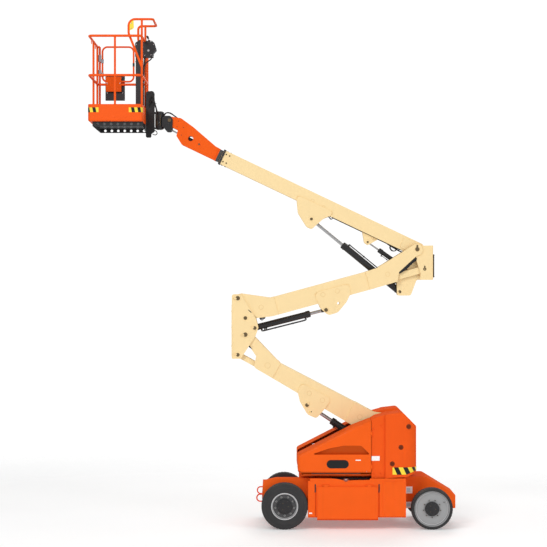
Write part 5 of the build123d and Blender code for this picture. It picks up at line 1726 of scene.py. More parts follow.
    def _collar(self, shape: Shape, place: Vector, side: int, radius: float) -> None:
        """A welded collar round a pin's end.

        Args:
            shape: The shape that takes them.
            place: The pin's middle.
            side: Which side of the machine.
            radius: The pin's radius.
        """
        r = radius
        face = Vector((place.x, side * self.cheek, place.z))
        shape.turn([(0, r + 0.015), (0.0035, r + 0.0145), (0.0045, r + 0.013), (0.0045, r + 0.001)],
                   face, OUTWARD[side], Coat.CREAM, 36, OPEN)

    def _second_upright(self) -> None:
        """Pin caps, the pad's ribs and bolts, and the hoses of the second upright."""
        shape = Shape("upright_2_fittings", "upright_2")
        pin = BOOM.start
        for side in SIDES:
            pin_cap(shape, pin, side, 0.030, 0.162, Coat.PIN, 90, Coat.PIN)
            pin_cap(shape, pin + UPPER_LINK, side, 0.023, 0.1385, Coat.PIN, 90, Coat.PIN)
            for place, radius in ((pin + LIFT_BASE, 0.022), (pin + MASTER_BASE, 0.016)):
                pin_cap(shape, place, side, radius, 0.076, Coat.PIN, 200)
            for z0, z1 in ((0.045, -0.115), (-0.128, -0.415)):
                shape.bar([pin + Vector((0.2165, side * 0.1405, z0)),
                           pin + Vector((0.2165, side * 0.1405, z1))], 0.0032, Coat.SEAM)
        back = pin.x + 0.239
        for k in range(5):
            z = pin.z - 0.105 - k * 0.058
            shape.block((back - 0.0005, -0.100, z - 0.020), (back + 0.0012, 0.100, z + 0.020),
                        Coat.BUMPER, 0.0006)
        for y in (-0.085, 0.085):
            for z in (pin.z - 0.082, pin.z - 0.378):
                shape.bolt((back, y, z), TAILWARD, 0.006)
        shape.done()
        hoses = Shape("boom_foot_hoses", "upright_2")
        for n in range(3):
            y = -0.030 + n * 0.030
            start = pin + Vector((0.196, y, -0.130 - 0.01 * n))
            hoses.tube([start, start + Vector((0.004, 0, 0.060)), pin + Vector((0.194, y, -0.010)),
                        pin + Vector((0.176, y, 0.034)), pin + Vector((0.140, y, 0.046))], 0.0085,
                       Coat.HOSE)
        for side in SIDES:
            for n, dz in enumerate((-0.135, -0.165)):
                y = side * 0.100
                run = ((0.200, y, dz), (0.150, y, dz - 0.02), (0.095, y, dz + 0.015),
                       (0.060, y, dz - 0.010), (0.045, y * 0.9, dz - 0.045 - 0.03 * n))
                hoses.tube([pin + Vector(p) for p in run], 0.0075, Coat.HOSE)
        hoses.done()

    def _links(self) -> None:
        """Grease nipples and eye rings on the level links."""
        spans = (("lower_link", LOWER.start, LOWER.at(self.lower, 0), LOWER_LINK),
                 ("upper_link", UPPER.start, BOOM.start, UPPER_LINK))
        for name, first, second, step in spans:
            start, end = first + step, second + step
            shape = Shape(f"{name}_fittings", name)
            w = (end - start).normalized()
            for side, out in OUTWARD.items():
                for place, way in ((start, 1), (end, -1)):
                    shape.turn([(0, 0.0325), (0.0025, 0.0325), (0.0035, 0.031), (0.0035, 0.020)],
                               place + Vector((0, side * 0.120, 0)), out, Coat.CREAM, 32, OPEN)
                    shape.turn([(0, 0.005), (0.006, 0.005), (0.008, 0.0035), (0.014, 0.0035),
                                (0.016, 0.002)], place + w * way * 0.030
                               + Vector((0, side * 0.112, 0.010)), UP, Coat.BRASS, 8)
                for part in (0.2, 0.8):
                    shape.bolt(start.lerp(end, part) + Vector((0, side * 0.120, 0)), out, 0.0065,
                               Coat.CREAM)
            shape.done()


# ---- cylinders -------------------------------------------------------------------------------

@dataclass
class Cylinder:
    """Ports, pipe, gland and eye fittings of one hydraulic cylinder."""

    name: str
    base: Vector
    eye: Vector
    bore: float
    rod: float
    head: float
    base_pin: float
    base_half: float
    eye_radius: float
    pipe_up: float = -1.0
    pipe_drop: float = -0.010
    pipe: float = 0.36

    @property
    def line(self) -> Member:
        """The cylinder as a member, from its base pin to its rod eye.

        Returns:
            The member.
        """
        d = self.eye - self.base
        angle = math.degrees(math.atan2(d.z, d.x))
        return Member(self.base, angle, 1 if abs(angle) < 90 else -1)

    def build(self) -> None:
        """Make the fittings of the barrel and of the rod."""
        line, r = self.line, self.bore + 0.007
        w = line.along_axis
        up = line.up_axis * self.pipe_up
        floor = self.base_pin + 0.020
        shape = Shape(f"{self.name}_barrel_fittings", f"{self.name}_barrel")
        shape.turn([(floor - 0.004, r * 0.9), (floor - 0.002, r + 0.0035),
                    (floor + 0.004, r + 0.0045), (floor + 0.010, r + 0.0025),
                    (floor + 0.013, r * 0.97)], line.start, w, Coat.BLACK, 40, OPEN)
        h = self.head
        shape.turn([(h - 0.052, r + 0.001), (h - 0.052, r + 0.0065), (h - 0.046, r + 0.0075),
                    (h - 0.040, r + 0.0065), (h - 0.038, r + 0.004)], line.start, w, Coat.BLACK, 40,
                   OPEN)
        shape.turn([(h - 0.0005, r + 0.001), (h + 0.003, r), (h + 0.004, r - 0.003),
                    (h + 0.004, self.rod + 0.010), (h + 0.007, self.rod + 0.008),
                    (h + 0.008, self.rod + 0.005), (h + 0.0005, self.rod + 0.003)], line.start, w,
                   Coat.BLACK, 40, OPEN)
        shape.ring_of_bolts(line.start + w * (h + 0.002), w, (r + self.rod) / 2 + 0.004, 6,
                            r * 0.10, Coat.PIN)
        first, last = floor + 0.045, h - 0.072
        size = min(0.014, r * 0.34)
        ports = []
        for along in (first, last):
            place = line.start + w * along + up * (r - 0.003)
            shape.turn([(0, size), (0.016, size), (0.018, size * 0.9)], place, up, Coat.BLACK, 16)
            shape.turn([(0.018, size * 0.72), (0.030, size * 0.72)], place, up, Coat.STEEL, 6)
            ports.append(place + up * 0.026)
        if self.head > 0.6:
            block = line.start + w * (first + 0.055) + up * (r + 0.010)
            corner = Vector((0.022, 0.020, 0.022))
            shape.block(tuple(block - corner), tuple(block + corner), Coat.BLACK, 0.003)
            shape.turn([(0, 0.010), (0.020, 0.010), (0.022, 0.008)], block + Vector((0, -0.020, 0)),
                       NEARWARD, Coat.STEEL, 6)
        start, end = ports[0] + Vector((0, 0.016, 0)), ports[1] + Vector((0, 0.016, 0))
        drop = up * self.pipe_drop
        shape.tube([ports[0], start, start + w * 0.03 + drop, start.lerp(end, 0.25) + drop,
                    start.lerp(end, 0.5) + drop, start.lerp(end, 0.75) + drop,
                    end - w * 0.03 + drop, end, ports[1]], max(0.004, size * self.pipe), Coat.BLACK,
                   8)
        for part in (0.3, 0.7):
            place = start.lerp(end, part) + drop
            shape.turn([(-0.007, size * 0.8), (-0.006, size * 0.9), (0.006, size * 0.9),
                        (0.007, size * 0.8)], place, w, Coat.BLACK, 12)
        for side in SIDES:
            shape.turn([(0, self.base_pin + 0.0145), (0.002, self.base_pin + 0.0135),
                        (0.002, self.base_pin + 0.004)],
                       line.start + Vector((0, side * self.base_half, 0)), (0, side, 0), Coat.BLACK,
                       32, OPEN)
        shape.turn(GREASE_NIPPLE, line.start - w * (self.base_pin + 0.0155), -w, Coat.BRASS, 8)
        shape.done()
        rod = Shape(f"{self.name}_rod_fittings", f"{self.name}_rod")
        length = (self.eye - self.base).length
        neck = length - self.eye_radius
        if self.head > 0.5:
            rod.turn([(neck - 0.030, self.rod + 0.0005), (neck - 0.028, self.rod + 0.004),
                      (neck - 0.012, self.rod + 0.004), (neck + 0.006, self.rod + 0.006),
                      (neck + 0.014, self.rod + 0.004)], line.start, w, Coat.BLACK, 32, OPEN)
        rod.turn(GREASE_NIPPLE, line.start + w * (length + self.eye_radius - 0.0005), w, Coat.BRASS,
                 8)
        rod.done()


# ---- boom ------------------------------------------------------------------------------------

@dataclass
class Boom:
    """Fittings of the boom's two sections and its nose."""

    half_y: float = 0.090
    half_z: float = 0.100
    mouth: float = 2.980
    nose_half: float = 0.060
    fly_y: float = 0.074
    fly_z: float = 0.082

    def build(self) -> None:
        """Make every fitting."""
        self._main()
        self._nose()

    def _main(self) -> None:
        """Welds, pad bolts, lug bosses, collar screws and hoses of the main section."""
        shape = Shape("main_boom_fittings", "main_boom")
        y = self.half_y + 0.001
        bead(shape, BOOM, [(150, 78), (200, 76), (232, 50), (232, -50), (200, -76), (150, -78)], y,
             Coat.CREAM)
        bead(shape, BOOM, [(1290, -96), (1272, -60), (1290, -29), (1800, -29), (1820, -50),
                           (1806, -92)], y, Coat.CREAM)
        for side, out in OUTWARD.items():
            bead_y = side * 0.049
            shape.bar(BOOM.run([(0.540, -0.1005), (0.788, -0.1005)], bead_y), 0.0045, Coat.CREAM)
            for place, radius, near, far in ((LIFT_LUG, 0.020, 0.0515, 0.1045),
                                             (MASTER_LUG, 0.015, 0.0385, 0.058)):
                base = Vector((place.x, side * near, place.z))
                reach = far - near
                shape.turn([(0, radius), (reach - 0.006, radius), (reach - 0.0045, radius + 0.013),
                            (reach - 0.001, radius + 0.013), (reach, radius + 0.011)], base, out,
                           Coat.CREAM)
                pin_cap(shape, Vector((place.x, 0, place.z)), side, radius, far)
            for along in (2.905, 2.955):
                for up in (-0.055, 0.055):
                    shape.bolt(BOOM.at(along, up, side * self.half_y), out, 0.0075, Coat.PIN)
            for up_side in (-1, 1):
                for along in (2.905, 2.955):
                    shape.bolt(BOOM.at(along, up_side * self.half_z, side * 0.045),
                               BOOM.up_axis * up_side, 0.0075, Coat.PIN)
            for up in (-0.075, 0.0, 0.075):
                shape.bolt(BOOM.at(self.mouth + 0.015, up, side * (self.half_y + 0.008)), out,
                           0.0055, Coat.PIN)
            shape.turn([(0, 0.052), (0.004, 0.052), (0.005, 0.050), (0.005, 0.034), (0, 0.033)],
                       BOOM.at(0, 0, side * (self.half_y + 0.008)), out, Coat.CREAM, 40, OPEN)
            shape.tube([BOOM.at(a, -self.half_z - 0.0030, side * 0.072)
                        for a in (0.20, 0.40, 0.62, 0.90, 1.26)], 0.0032, Coat.HOSE, 8)
            self._hose_guides(shape, side * 0.066)
            for row in ((1.598, -0.010), (1.423, -0.027)):
                shape.turn([(0, 0.024), (0.0012, 0.024), (0.0020, 0.0226), (0.0010, 0.0202),
                            (0, 0.0196)], BOOM.at(*row, side * self.half_y), out, Coat.SEAM, 36,
                           OPEN)
        for n in range(3):
            y = -0.025 + n * 0.025
            shape.tube(BOOM.run([(0.015, -0.030), (0.005, -0.075), (0.06, -0.116), (0.20, -0.122),
                                 (0.32, -0.114), (0.40, -0.104)], y), 0.008, Coat.HOSE)
        shape.done()

    @staticmethod
    def _hose_guides(shape: Shape, y: float) -> None:
        """Loops and a bracket that carry hoses under the boom.

        Args:
            shape: The shape that takes them.
            y: Where across the boom.
        """
        for rows, radius, coat in ((((0.350, -0.101), (0.340, -0.140), (0.300, -0.160),
                                     (0.262, -0.146), (0.250, -0.101)), 0.0060, Coat.HOSE),
                                   (((0.628, -0.099), (0.624, -0.122), (0.606, -0.134),
                                     (0.588, -0.122), (0.584, -0.099)), 0.0055, Coat.CREAM),
                                   (((1.284, -0.099), (1.280, -0.120), (1.262, -0.130),
                                     (1.244, -0.120), (1.240, -0.099)), 0.0050, Coat.HOSE)):
            shape.tube(BOOM.run(rows, y), radius, coat)
        shape.plate([(1.286, -0.116), (1.345, -0.099), (1.345, -0.109), (1.300, -0.122)],
                    BOOM.at(0, 0, y - 0.006), *BOOM.axes, 0.012, Coat.BLACK, 0.001)

    def _nose(self) -> None:
        """Rings, bolts, pin caps and hoses of the nose, and the fly section's sleeve."""
        shape = Shape("nose_fittings", "fly_boom")
        bead(shape, BOOM, [(3072, 86), (3072, -82)], self.nose_half + 0.001, Coat.ORANGE)
        for side, out in OUTWARD.items():
            y = side * self.nose_half
            shape.turn([(0, 0.042), (0.003, 0.042), (0.0045, 0.040), (0.0045, 0.0355)],
                       BOOM.at(3.500, 0.043, y), out, Coat.ORANGE, 40, OPEN)
            pin_cap(shape, SLAVE_LUG, side, 0.014, self.nose_half - 0.0005, Coat.PIN, -60,
                    Coat.ORANGE)
            shape.turn([(0, 0.024), (0.003, 0.024), (0.004, 0.022), (0.004, 0.0145)],
                       BOOM.at(3.360, 0.022, y), out, Coat.ORANGE, 32, OPEN)
            pin_cap(shape, LEVEL_PIN, side, 0.024, 0.0838)
            for along in (3.11, 3.19):
                for up in (-0.05, 0.05):
                    shape.turn([(0, 0.0090), (0.0016, 0.0088), (0.0016, 0.0050), (0.0005, 0.0045)],
                               BOOM.at(along, up, y), out, Coat.ORANGE, 20)
            for along, up in ((3.66, 0.14), (3.76, 0.19), (3.64, 0.03), (3.74, 0.11)):
                shape.bolt(BOOM.at(along, up, y), out, 0.0055, Coat.BLACK, washer=False)
        shape.done()
        sleeve = Shape("fly_sleeve", "fly_boom")
        hy, hz, wall = self.fly_y, self.fly_z, 0.0035
        rings = [section(BOOM, along, hy + grow, hz + grow, 0.006)
                 for along, grow in ((3.0140, 0.0004), (3.0155, wall), (3.0590, wall),
                                     (3.0605, 0.0004))]
        sleeve.skin(rings, Coat.SLEEVE, OPEN)
        for side in SIDES:
            for up in (-0.045, 0.045):
                sleeve.bolt(BOOM.at(3.038, up, side * (hy + wall)), OUTWARD[side], 0.0050, Coat.PIN)
        sleeve.done()
        hoses = Shape("nose_hoses", "fly_boom")
        for y in (-0.046, 0.046):
            hoses.tube(BOOM.run([(3.10, -0.060), (3.30, -0.055), (3.46, 0.010), (3.58, 0.090),
                                 (3.68, 0.160), (3.74, 0.205)], y), 0.0085, Coat.HOSE)
        hoses.done()


@dataclass
class PlatformHead:
    """Fittings of the level clevis and its rotator, and the hoses that loop past them."""

    pivot: Vector = field(default_factory=lambda: LEVEL_PIN.copy())
    rotator: float = ROTATOR_X
    radius: float = 0.058

    def build(self) -> None:
        """Make the fittings and the hoses."""
        shape = Shape("rotator_fittings", "platform_head")
        z = self.pivot.z
        for z0 in (-0.088, 0.076):
            shape.turn([(0, self.radius - 0.001), (0, self.radius + 0.003),
                        (0.002, self.radius + 0.004), (0.010, self.radius + 0.004),
                        (0.012, self.radius + 0.003), (0.012, self.radius - 0.001)],
                       (self.rotator, 0, z + z0), UP, Coat.BLACK, 48, OPEN)
        for k in range(8):
            a = 2 * math.pi * k / 8 + 0.2
            if math.cos(a) > 0.2:
                continue
            place = (self.rotator + self.radius * math.cos(a), self.radius * math.sin(a), z - 0.076)
            shape.turn([(0, 0.0045), (0.150, 0.0045)], place, UP, Coat.PIN, 10)
            shape.bolt((place[0], place[1], z + 0.074), UP, 0.0065, Coat.PIN, washer=False)
        for side, out in OUTWARD.items():
            for x, dz in ((-0.075, 0.030), (-0.075, -0.070), (0.012, -0.135), (-0.010, -0.050)):
                shape.bolt((self.pivot.x + x, side * 0.080, z + dz), out, 0.0065, Coat.BLACK)
            shape.turn([(0, 0.034), (0.003, 0.034), (0.0035, 0.032), (0.0035, 0.0248)],
                       (self.pivot.x, side * 0.0801, z), out, Coat.BLACK, 36, OPEN)
            port = (self.rotator - 0.010, side * (self.radius - 0.004), z + 0.030 * side)
            shape.turn([(0, 0.011), (0.006, 0.011), (0.0072, 0.009)], port, out, Coat.STEEL, 6)
        shape.done()
        self._loops()

    def _loops(self) -> None:
        """Hoses from the nose to the rotator, and from the rotator to the platform."""
        z = self.pivot.z
        for n, y in enumerate((-0.044, 0.0, 0.044)):
            loop = Shape(f"level_hose_{n + 1}", "fly_boom")
            loop.tube([BOOM.at(3.742, 0.200, y * 0.8), BOOM.at(3.80, 0.225, y),
                       (self.pivot.x + 0.010, y, z + 0.098 + 0.005 * n),
                       (self.pivot.x - 0.050, y, z + 0.102 + 0.005 * n),
                       (self.rotator + 0.058, y * 0.9, z + 0.070),
                       (self.rotator + 0.052, y * 0.7, z + 0.045)], 0.0085, Coat.HOSE, 10, 8)
            piece = loop.loose()
            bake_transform(piece)
        for n, (y, top) in enumerate(((-0.046, 0.330), (0.046, 0.300), (-0.056, 0.270),
                                      (0.056, 0.250))):
            side = 1 if y > 0 else -1
            loop = Shape(f"rotate_hose_{n + 1}", "platform_head")
            start = Vector((self.rotator - 0.012, side * 0.066, z + 0.030 * side))
            loop.tube([start, start + Vector((-0.004, side * 0.020, 0.004)),
                       start + Vector((-0.022, side * 0.026, 0.060)),
                       (self.rotator - 0.045, y * 1.6, z + 0.160),
                       (self.rotator - 0.078, y * 1.35, z + top - 0.030),
                       (self.rotator - 0.108, y, z + top),
                       (self.rotator - 0.135, y * 0.80, z + top - 0.045),
                       (self.rotator - 0.140, side * 0.030, z + top - 0.090)], 0.0075, Coat.HOSE,
                      10, 8)
            piece = loop.loose()
            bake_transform(piece)


# ---- platform --------------------------------------------------------------------------------

@dataclass
class Platform:
    """Fittings of the platform: floor, toe boards, rails, console, box and gate."""

    left: float = -2.526
    right: float = -1.778
    half: float = 0.610
    floor: float = 5.545
    toe_top: float = 5.770
    mid: float = 6.168
    top: float = 6.704
    rail: float = 0.017
    corner: float = 0.050
    stripe: float = 0.086

    def build(self) -> None:
        """Make every fitting."""
        self._tread()
        self._toe_boards()
        self._rails()
        self._console()
        self._box()
        self._support()
        self._gate()

    def _tread(self) -> None:
        """Raised lozenges on the floor, in two slants."""
        shape = Shape("floor_tread", "platform")
        pitch, size, wide, high = 0.034, 0.0135, 0.0036, 0.0016
        columns, rows = int((self.right - self.left - 0.03) / pitch), int((2 * self.half
                - 0.03) / pitch)
        for i in range(columns):
            for j in range(rows):
                x = self.left + 0.022 + i * pitch + pitch / 2
                y = -self.half + 0.020 + j * pitch + pitch / 2
                if -1.938 < x < -1.812 and -0.050 < y < 0.100:
                    continue
                a = math.pi / 4 if (i + j) % 2 else -math.pi / 4
                u, v = Vector((math.cos(a), math.sin(a), 0)), Vector((-math.sin(a), math.cos(a), 0))
                c = Vector((x, y, self.floor - 0.0003))
                low = [c + u * size, c + v * wide, c - u * size, c - v * wide]
                top = [c + (p - c) * 0.62 + Vector((0, 0, high)) for p in low]
                shape.skin([low, top], Coat.ORANGE, (False, True))
        shape.done()

    def _edge_place(self, s: float, side: int, way: int, start: float, lift: float) -> Vector:
        """A place on a toe board's skin, a distance along it and round its corner.

        Args:
            s: The distance, in metres.
            side: Which side of the platform.
            way: Which end it runs to.
            start: The X where the distance is zero.
            lift: How far out of the skin.

        Returns:
            The place, at height zero.
        """
        r = self.corner
        centre = (self.right - r) if way > 0 else (self.left + r)
        flat = abs(centre - start)
        if s <= flat:
            return Vector((start + way * s, side * (self.half + lift), 0))
        a = min((s - flat) / r, 1.34)
        return Vector((centre + way * (r + lift) * math.sin(a),
                       side * (self.half - r + (r + lift) * math.cos(a)), 0))

    def _stripes(self, shape: Shape, side: int, way: int, start: float) -> None:
        """Slanting black and yellow tiles on a toe board, from a place to the corner and round it.

        Args:
            shape: The shape to add them to.
            side: Which side of the platform.
            way: Which end they run to.
            start: The X where they start.
        """
        r = self.corner
        total = abs(((self.right - r) if way > 0 else (self.left + r)) - start) + r * math.pi / 2
        low, tall, half, steps = 5.6620, 0.066, self.stripe / 2, 4
        lean = -0.014 * way

        def spot(s: float, part: float, lift: float) -> Vector:
            """A place on the toe board's band, from its start and from its lower edge up."""
            place = self._edge_place(min(max(s + lean * part, 0.0), total), side, way, start, lift)
            return place + Vector((0, 0, low + tall * part))

        for n in range(int((total + abs(lean)) / half) + 1):
            a, b = n * half - max(lean, 0.0), (n + 1) * half - max(lean, 0.0)
            b = min(b, total + max(-lean, 0.0))
            if b - a < 0.003:
                continue
            grid = [[spot(a + (b - a) * k / steps, m / 2, 0.0011) for m in range(3)]
                    for k in range(steps + 1)]
            back = [[spot(a + (b - a) * k / steps, m / 2, 0.0002) for m in range(3)]
                    for k in range(steps + 1)]
            Turntable.patch(shape, grid, back, Coat.BLACK_GLOSS if n % 2 else Coat.YELLOW)

    def _outline(self, inset: float, z: float) -> list[Point]:
        """The pan's plan as points at a height, moved in.

        Args:
            inset: How far inside the rim.
            z: The height.

        Returns:
            The outline's points in order.
        """
        r = self.corner - inset
        points = []
        right, left = self.right - self.corner, self.left + self.corner
        half = self.half - self.corner
        for n, (cx, cy) in enumerate(((right, half), (left, half), (left, -half), (right, -half))):
            for k in range(7):
                a = math.pi / 2 * (n + k / 6)
                points.append((cx + r * math.cos(a), cy + r * math.sin(a), z))
        return points

    def _toe_boards(self) -> None:
        """Edge rolls, seams, post feet and hazard strips on the toe boards."""
        shape = Shape("toe_board_fittings", "platform")
        for side, out in OUTWARD.items():
            self._stripes(shape, side, -1, -2.379)
            self._stripes(shape, side, 1, -1.968)
            for x in (-2.33, -2.16, -2.01):
                shape.bolt((x, side * self.half, 5.592), out, 0.005, Coat.ORANGE)
        shape.bar(self._outline(0.0042, self.toe_top), 0.0038, Coat.ORANGE, loop=True)
        shape.bar(self._outline(0.0016, 5.5700), 0.0014, Coat.ORANGE, 6, loop=True)
        left, right, side_y = self.left + self.rail, self.right - self.rail, self.half - self.rail
        for x, y in ((left, 0), (left, side_y - 0.05), (-2.157, -side_y), (right, -side_y + 0.05),
                     (right, side_y - 0.05), (right, 0.13), (-2.478, side_y), (-1.952, side_y)):
            shape.turn([(-0.002, 0.0155), (0.001, 0.0168), (0.004, 0.0165), (0.006, 0.0155)],
                       (x, y, self.toe_top), UP, Coat.ORANGE, 24, OPEN)
        shape.done()

    def _rails(self) -> None:
        """Weld rings, collars, end plates and the guard panel on the rails."""
        shape = Shape("rail_fittings", "platform")
        left, right, side_y = self.left + self.rail, self.right - self.rail, self.half - self.rail
        for x, y in ((left, 0.0), (-2.157, -side_y), (right, 0.13), (left, side_y - 0.05),
                     (right, -side_y + 0.05), (right, side_y - 0.05)):
            for z in (self.mid, self.top):
                for dz in (-0.0165, 0.0165):
                    if z == self.top and dz > 0 and x != right:
                        continue
                    shape.turn([(-0.003, 0.0152), (0, 0.0168), (0.003, 0.0152)], (x, y, z + dz), UP,
                               Coat.ORANGE_TUBE, 24, OPEN)
        guard = -1.975
        y = -side_y + 0.05
        shape.plate([(guard + 0.004, 6.778), (guard + 0.062, 6.802), (guard + 0.072, 6.820),
                     (guard + 0.068, 6.930), (guard + 0.040, 6.930), (guard + 0.016, 6.914),
                     (guard + 0.004, 6.884)], (0, y - 0.004, 0), TAILWARD, UP, 0.004, Coat.YELLOW,
                    0.001)
        for z in (6.81, 6.880):
            shape.bolt((guard + 0.036, y - 0.008, z), NEARWARD, 0.005)
        for x in (-2.40, -2.28, -2.02, -1.90):
            shape.turn([(-0.004, 0.0168), (-0.003, 0.0182), (0.003, 0.0182), (0.004, 0.0168)],
                       (x, -side_y, self.top), TAILWARD, Coat.ORANGE_TUBE, 20, OPEN)
        for y0 in (-0.270, 0.270):
            shape.turn([(0, 0.0180), (0.0018, 0.0175), (0.0018, 0.0125)],
                       (left - 0.004, y0, self.top - 0.044), AHEAD, Coat.ORANGE_TUBE, 28, OPEN)
        shape.done()

    def _console(self) -> None:
        """Panel, levers, switches, screws and conduit of the control console."""
        shape = Shape("console_fittings", "platform")
        a, b = Vector((-1.774, 0, 6.7094)), Vector((-1.668, 0, 6.6905))
        along = (b - a).normalized()
        up = Vector((-along.z, 0, along.x))
        shape.plate([(0.004, -0.054), (0.102, -0.054), (0.102, 0.104), (0.004, 0.104)], a, along,
                    (0, 1, 0), 0.003 if along.cross(Vector((0, 1, 0))).z > 0 else -0.003, Coat.PACK,
                    0.001)

        def spot(d: float, y: float, h: float = 0.003) -> Vector:
            """A place on the panel: up its slope, across it and above it."""
            return a + along * d + Vector((0, y, 0)) + up * h

        for d in (0.010, 0.096):
            for y in (-0.047, 0.097):
                shape.turn([(0, 0.0040), (0.0015, 0.0040), (0.0025, 0.003)], spot(d, y), up,
                           Coat.STEEL, 12)
        for y in (-0.026, 0.076):
            base, w = spot(0.040, y), Vector((-0.33, 0.0, 1)).normalized()
            for k in range(4):
                r = 0.020 - 0.0035 * k
                shape.turn([(0.0045 * k, r), (0.0045 * k + 0.002, r + 0.0012),
                            (0.0045 * k + 0.0045, r - 0.003)], base, w, Coat.HOSE, 28,
                           (True, k == 3))
            shape.turn([(0.016, 0.0042), (0.046, 0.0042)], base, w, Coat.STEEL, 14)
            shape.turn([(0.042, 0.008), (0.046, 0.0125), (0.058, 0.0148), (0.070, 0.0140),
                        (0.078, 0.0100), (0.081, 0.004)], base, w, Coat.BLACK, 28)
        shape.turn([(0, 0.018), (0.006, 0.018), (0.007, 0.016), (0.007, 0.010), (0.014, 0.010)],
                   spot(0.040, 0.025), up, Coat.YELLOW, 32, (True, False))
        shape.turn([(0.010, 0.010), (0.013, 0.0145), (0.017, 0.0165), (0.022, 0.0155),
                    (0.025, 0.009)], spot(0.040, 0.025), up, Coat.RED)
        for n in range(6):
            base = spot(0.080, -0.043 + n * 0.027)
            shape.turn([(0, 0.0065), (0.003, 0.0065), (0.004, 0.005)], base, up, Coat.STEEL, 6)
            tilt = (up + along * (0.35 if n % 2 else -0.35)).normalized()
            shape.turn([(0.003, 0.0022), (0.012, 0.0028), (0.016, 0.0034), (0.018, 0.002)], base,
                       tilt, Coat.PALE_GREY, 10)
        for n in range(4):
            shape.turn([(0, 0.0040), (0.002, 0.0040), (0.003, 0.003)],
                       spot(0.064, 0.004 + n * 0.013), up,
                       (Coat.GREEN, Coat.YELLOW, Coat.RED, Coat.YELLOW)[n], 14)
        for y in (-0.0602, 0.1102):
            s = 1 if y > 0 else -1
            out = (0, s, 0)
            for x, z in ((-1.905, 6.508), (-1.905, 6.655), (-1.702, 6.512), (-1.668, 6.655),
                         (-1.790, 6.505)):
                shape.turn([(0, 0.006), (0.002, 0.006), (0.003, 0.004)], (x, y, z), out, Coat.STEEL,
                           14)
            rows = [(-1.919, 6.650), (-1.860, 6.692), (-1.658, 6.656)]
            shape.bar([(x, y + s * 0.0002, z) for x, z in rows], 0.0022, Coat.PLASTIC)
            shape.turn([(0, 0.016), (0.004, 0.016), (0.006, 0.013), (0.006, 0.006)],
                       (-1.740, y, 6.570), out, Coat.PALE_GREY, 28)
            shape.label((0.030, -0.050, 0.050), (-1.840, y, 6.580), s, 0.003, Coat.PLASTIC, 0.001)
        for n, y in enumerate((-0.015, 0.010, 0.035)):
            shape.tube([(-1.796, y, 6.487), (-1.800, y, 6.44), (-1.8125, y + 0.004, 6.22),
                        (-1.8125, y, 5.95), (-1.8125, y, 5.56)], 0.0075, Coat.HOSE)
        shape.tube([(-1.700, -0.030, 6.487), (-1.704, -0.034, 6.455), (-1.735, -0.032, 6.430),
                    (-1.775, -0.024, 6.400), (-1.806, -0.020, 6.330)], 0.0085, Coat.HOSE)
        for z in (5.75, 6.05, 6.32):
            shape.block((-1.822, -0.030, z - 0.010), (-1.803, 0.050, z + 0.010), Coat.BLACK, 0.003)
        for z in (5.60, 5.70, 6.42):
            for y in (-0.030, 0.080):
                shape.bolt((-1.9182, y, z), AHEAD, 0.006, Coat.PIN)
        shape.done()

    def _box(self) -> None:
        """Lid, latch and panel of the document box."""
        shape = Shape("document_box_fittings", "platform")
        x0, x1, wall = -2.400, -2.125, 0.6695
        shape.bar([(x0 + 0.002, wall, 6.235), (x1 - 0.002, wall, 6.235)], 0.0032, Coat.PLASTIC)
        shape.block((x0 + 0.115, wall, 6.205), (x0 + 0.160, 0.676, 6.245), Coat.PLASTIC)
        for x in (x0 + 0.04, x1 - 0.04):
            shape.turn([(-0.020, 0.005), (0.020, 0.005)], (x, 0.612, 6.2905), TAILWARD,
                       Coat.PLASTIC, 14)
        for n in range(5):
            x = x0 + 0.045 + n * 0.046
            shape.bar([(x, wall, 5.975), (x, wall, 6.195)], 0.0035, Coat.PLASTIC)
        for z in (6.05, 6.18):
            for x in (x0 + 0.03, x1 - 0.03):
                shape.bolt((x, 0.6095, z), NEARWARD, 0.005)
        shape.plate([(-2.390, 6.066), (-2.170, 6.066), (-2.170, 6.278), (-2.390, 6.278)],
                    (0, 0.5762, 0), TAILWARD, UP, 0.0035, Coat.ORANGE_SHELL, 0.0012)
        for x in (-2.372, -2.188):
            shape.bolt((x, 0.5727, 6.184), NEARWARD, 0.006)
        shape.done()

    def _support(self) -> None:
        """Bolts, collars and cable of the rotating support."""
        shape = Shape("support_fittings", "platform")
        rotator, z = ROTATOR_X, 5.600762
        for dz, way in ((0.118, 1), (-0.118, -1)):
            shape.turn([(0, 0.046), (0.005, 0.046), (0.007, 0.043), (0.007, 0.018), (0.010, 0.016)],
                       (rotator, 0, z + dz), (0, 0, way), Coat.BLACK, 36)
            shape.ring_of_bolts((rotator, 0, z + dz + way * 0.006), (0, 0, way), 0.032, 6, 0.006,
                                Coat.PIN)
        for side, out in OUTWARD.items():
            for x, zz in ((-1.752, 5.405), (-1.688, 5.460), (-1.755, 5.975), (-1.680, 5.985)):
                shape.bolt((x, side * 0.032, zz), out, 0.0075, Coat.BLACK)
            shape.bar([(-1.774, side * 0.0325, 5.46), (-1.774, side * 0.0325, 5.90)], 0.0035,
                      Coat.BLACK)
            for x in (-1.80, -1.85):
                shape.bolt((x, side * 0.10, 5.4748), (0, 0, -1), 0.009, Coat.BLACK)
        shape.tube([(-1.680, -0.020, 5.452), (-1.655, -0.020, 5.462), (-1.628, -0.020, 5.446),
                    (-1.622, -0.020, 5.418), (-1.645, -0.020, 5.400), (-1.684, -0.020, 5.410)],
                   0.0060, Coat.HOSE)
        shape.bar([(-1.700, 0.0, 5.839), (-1.626, 0.0, 5.839)], 0.0036, Coat.STEEL, 10)
        shape.done()

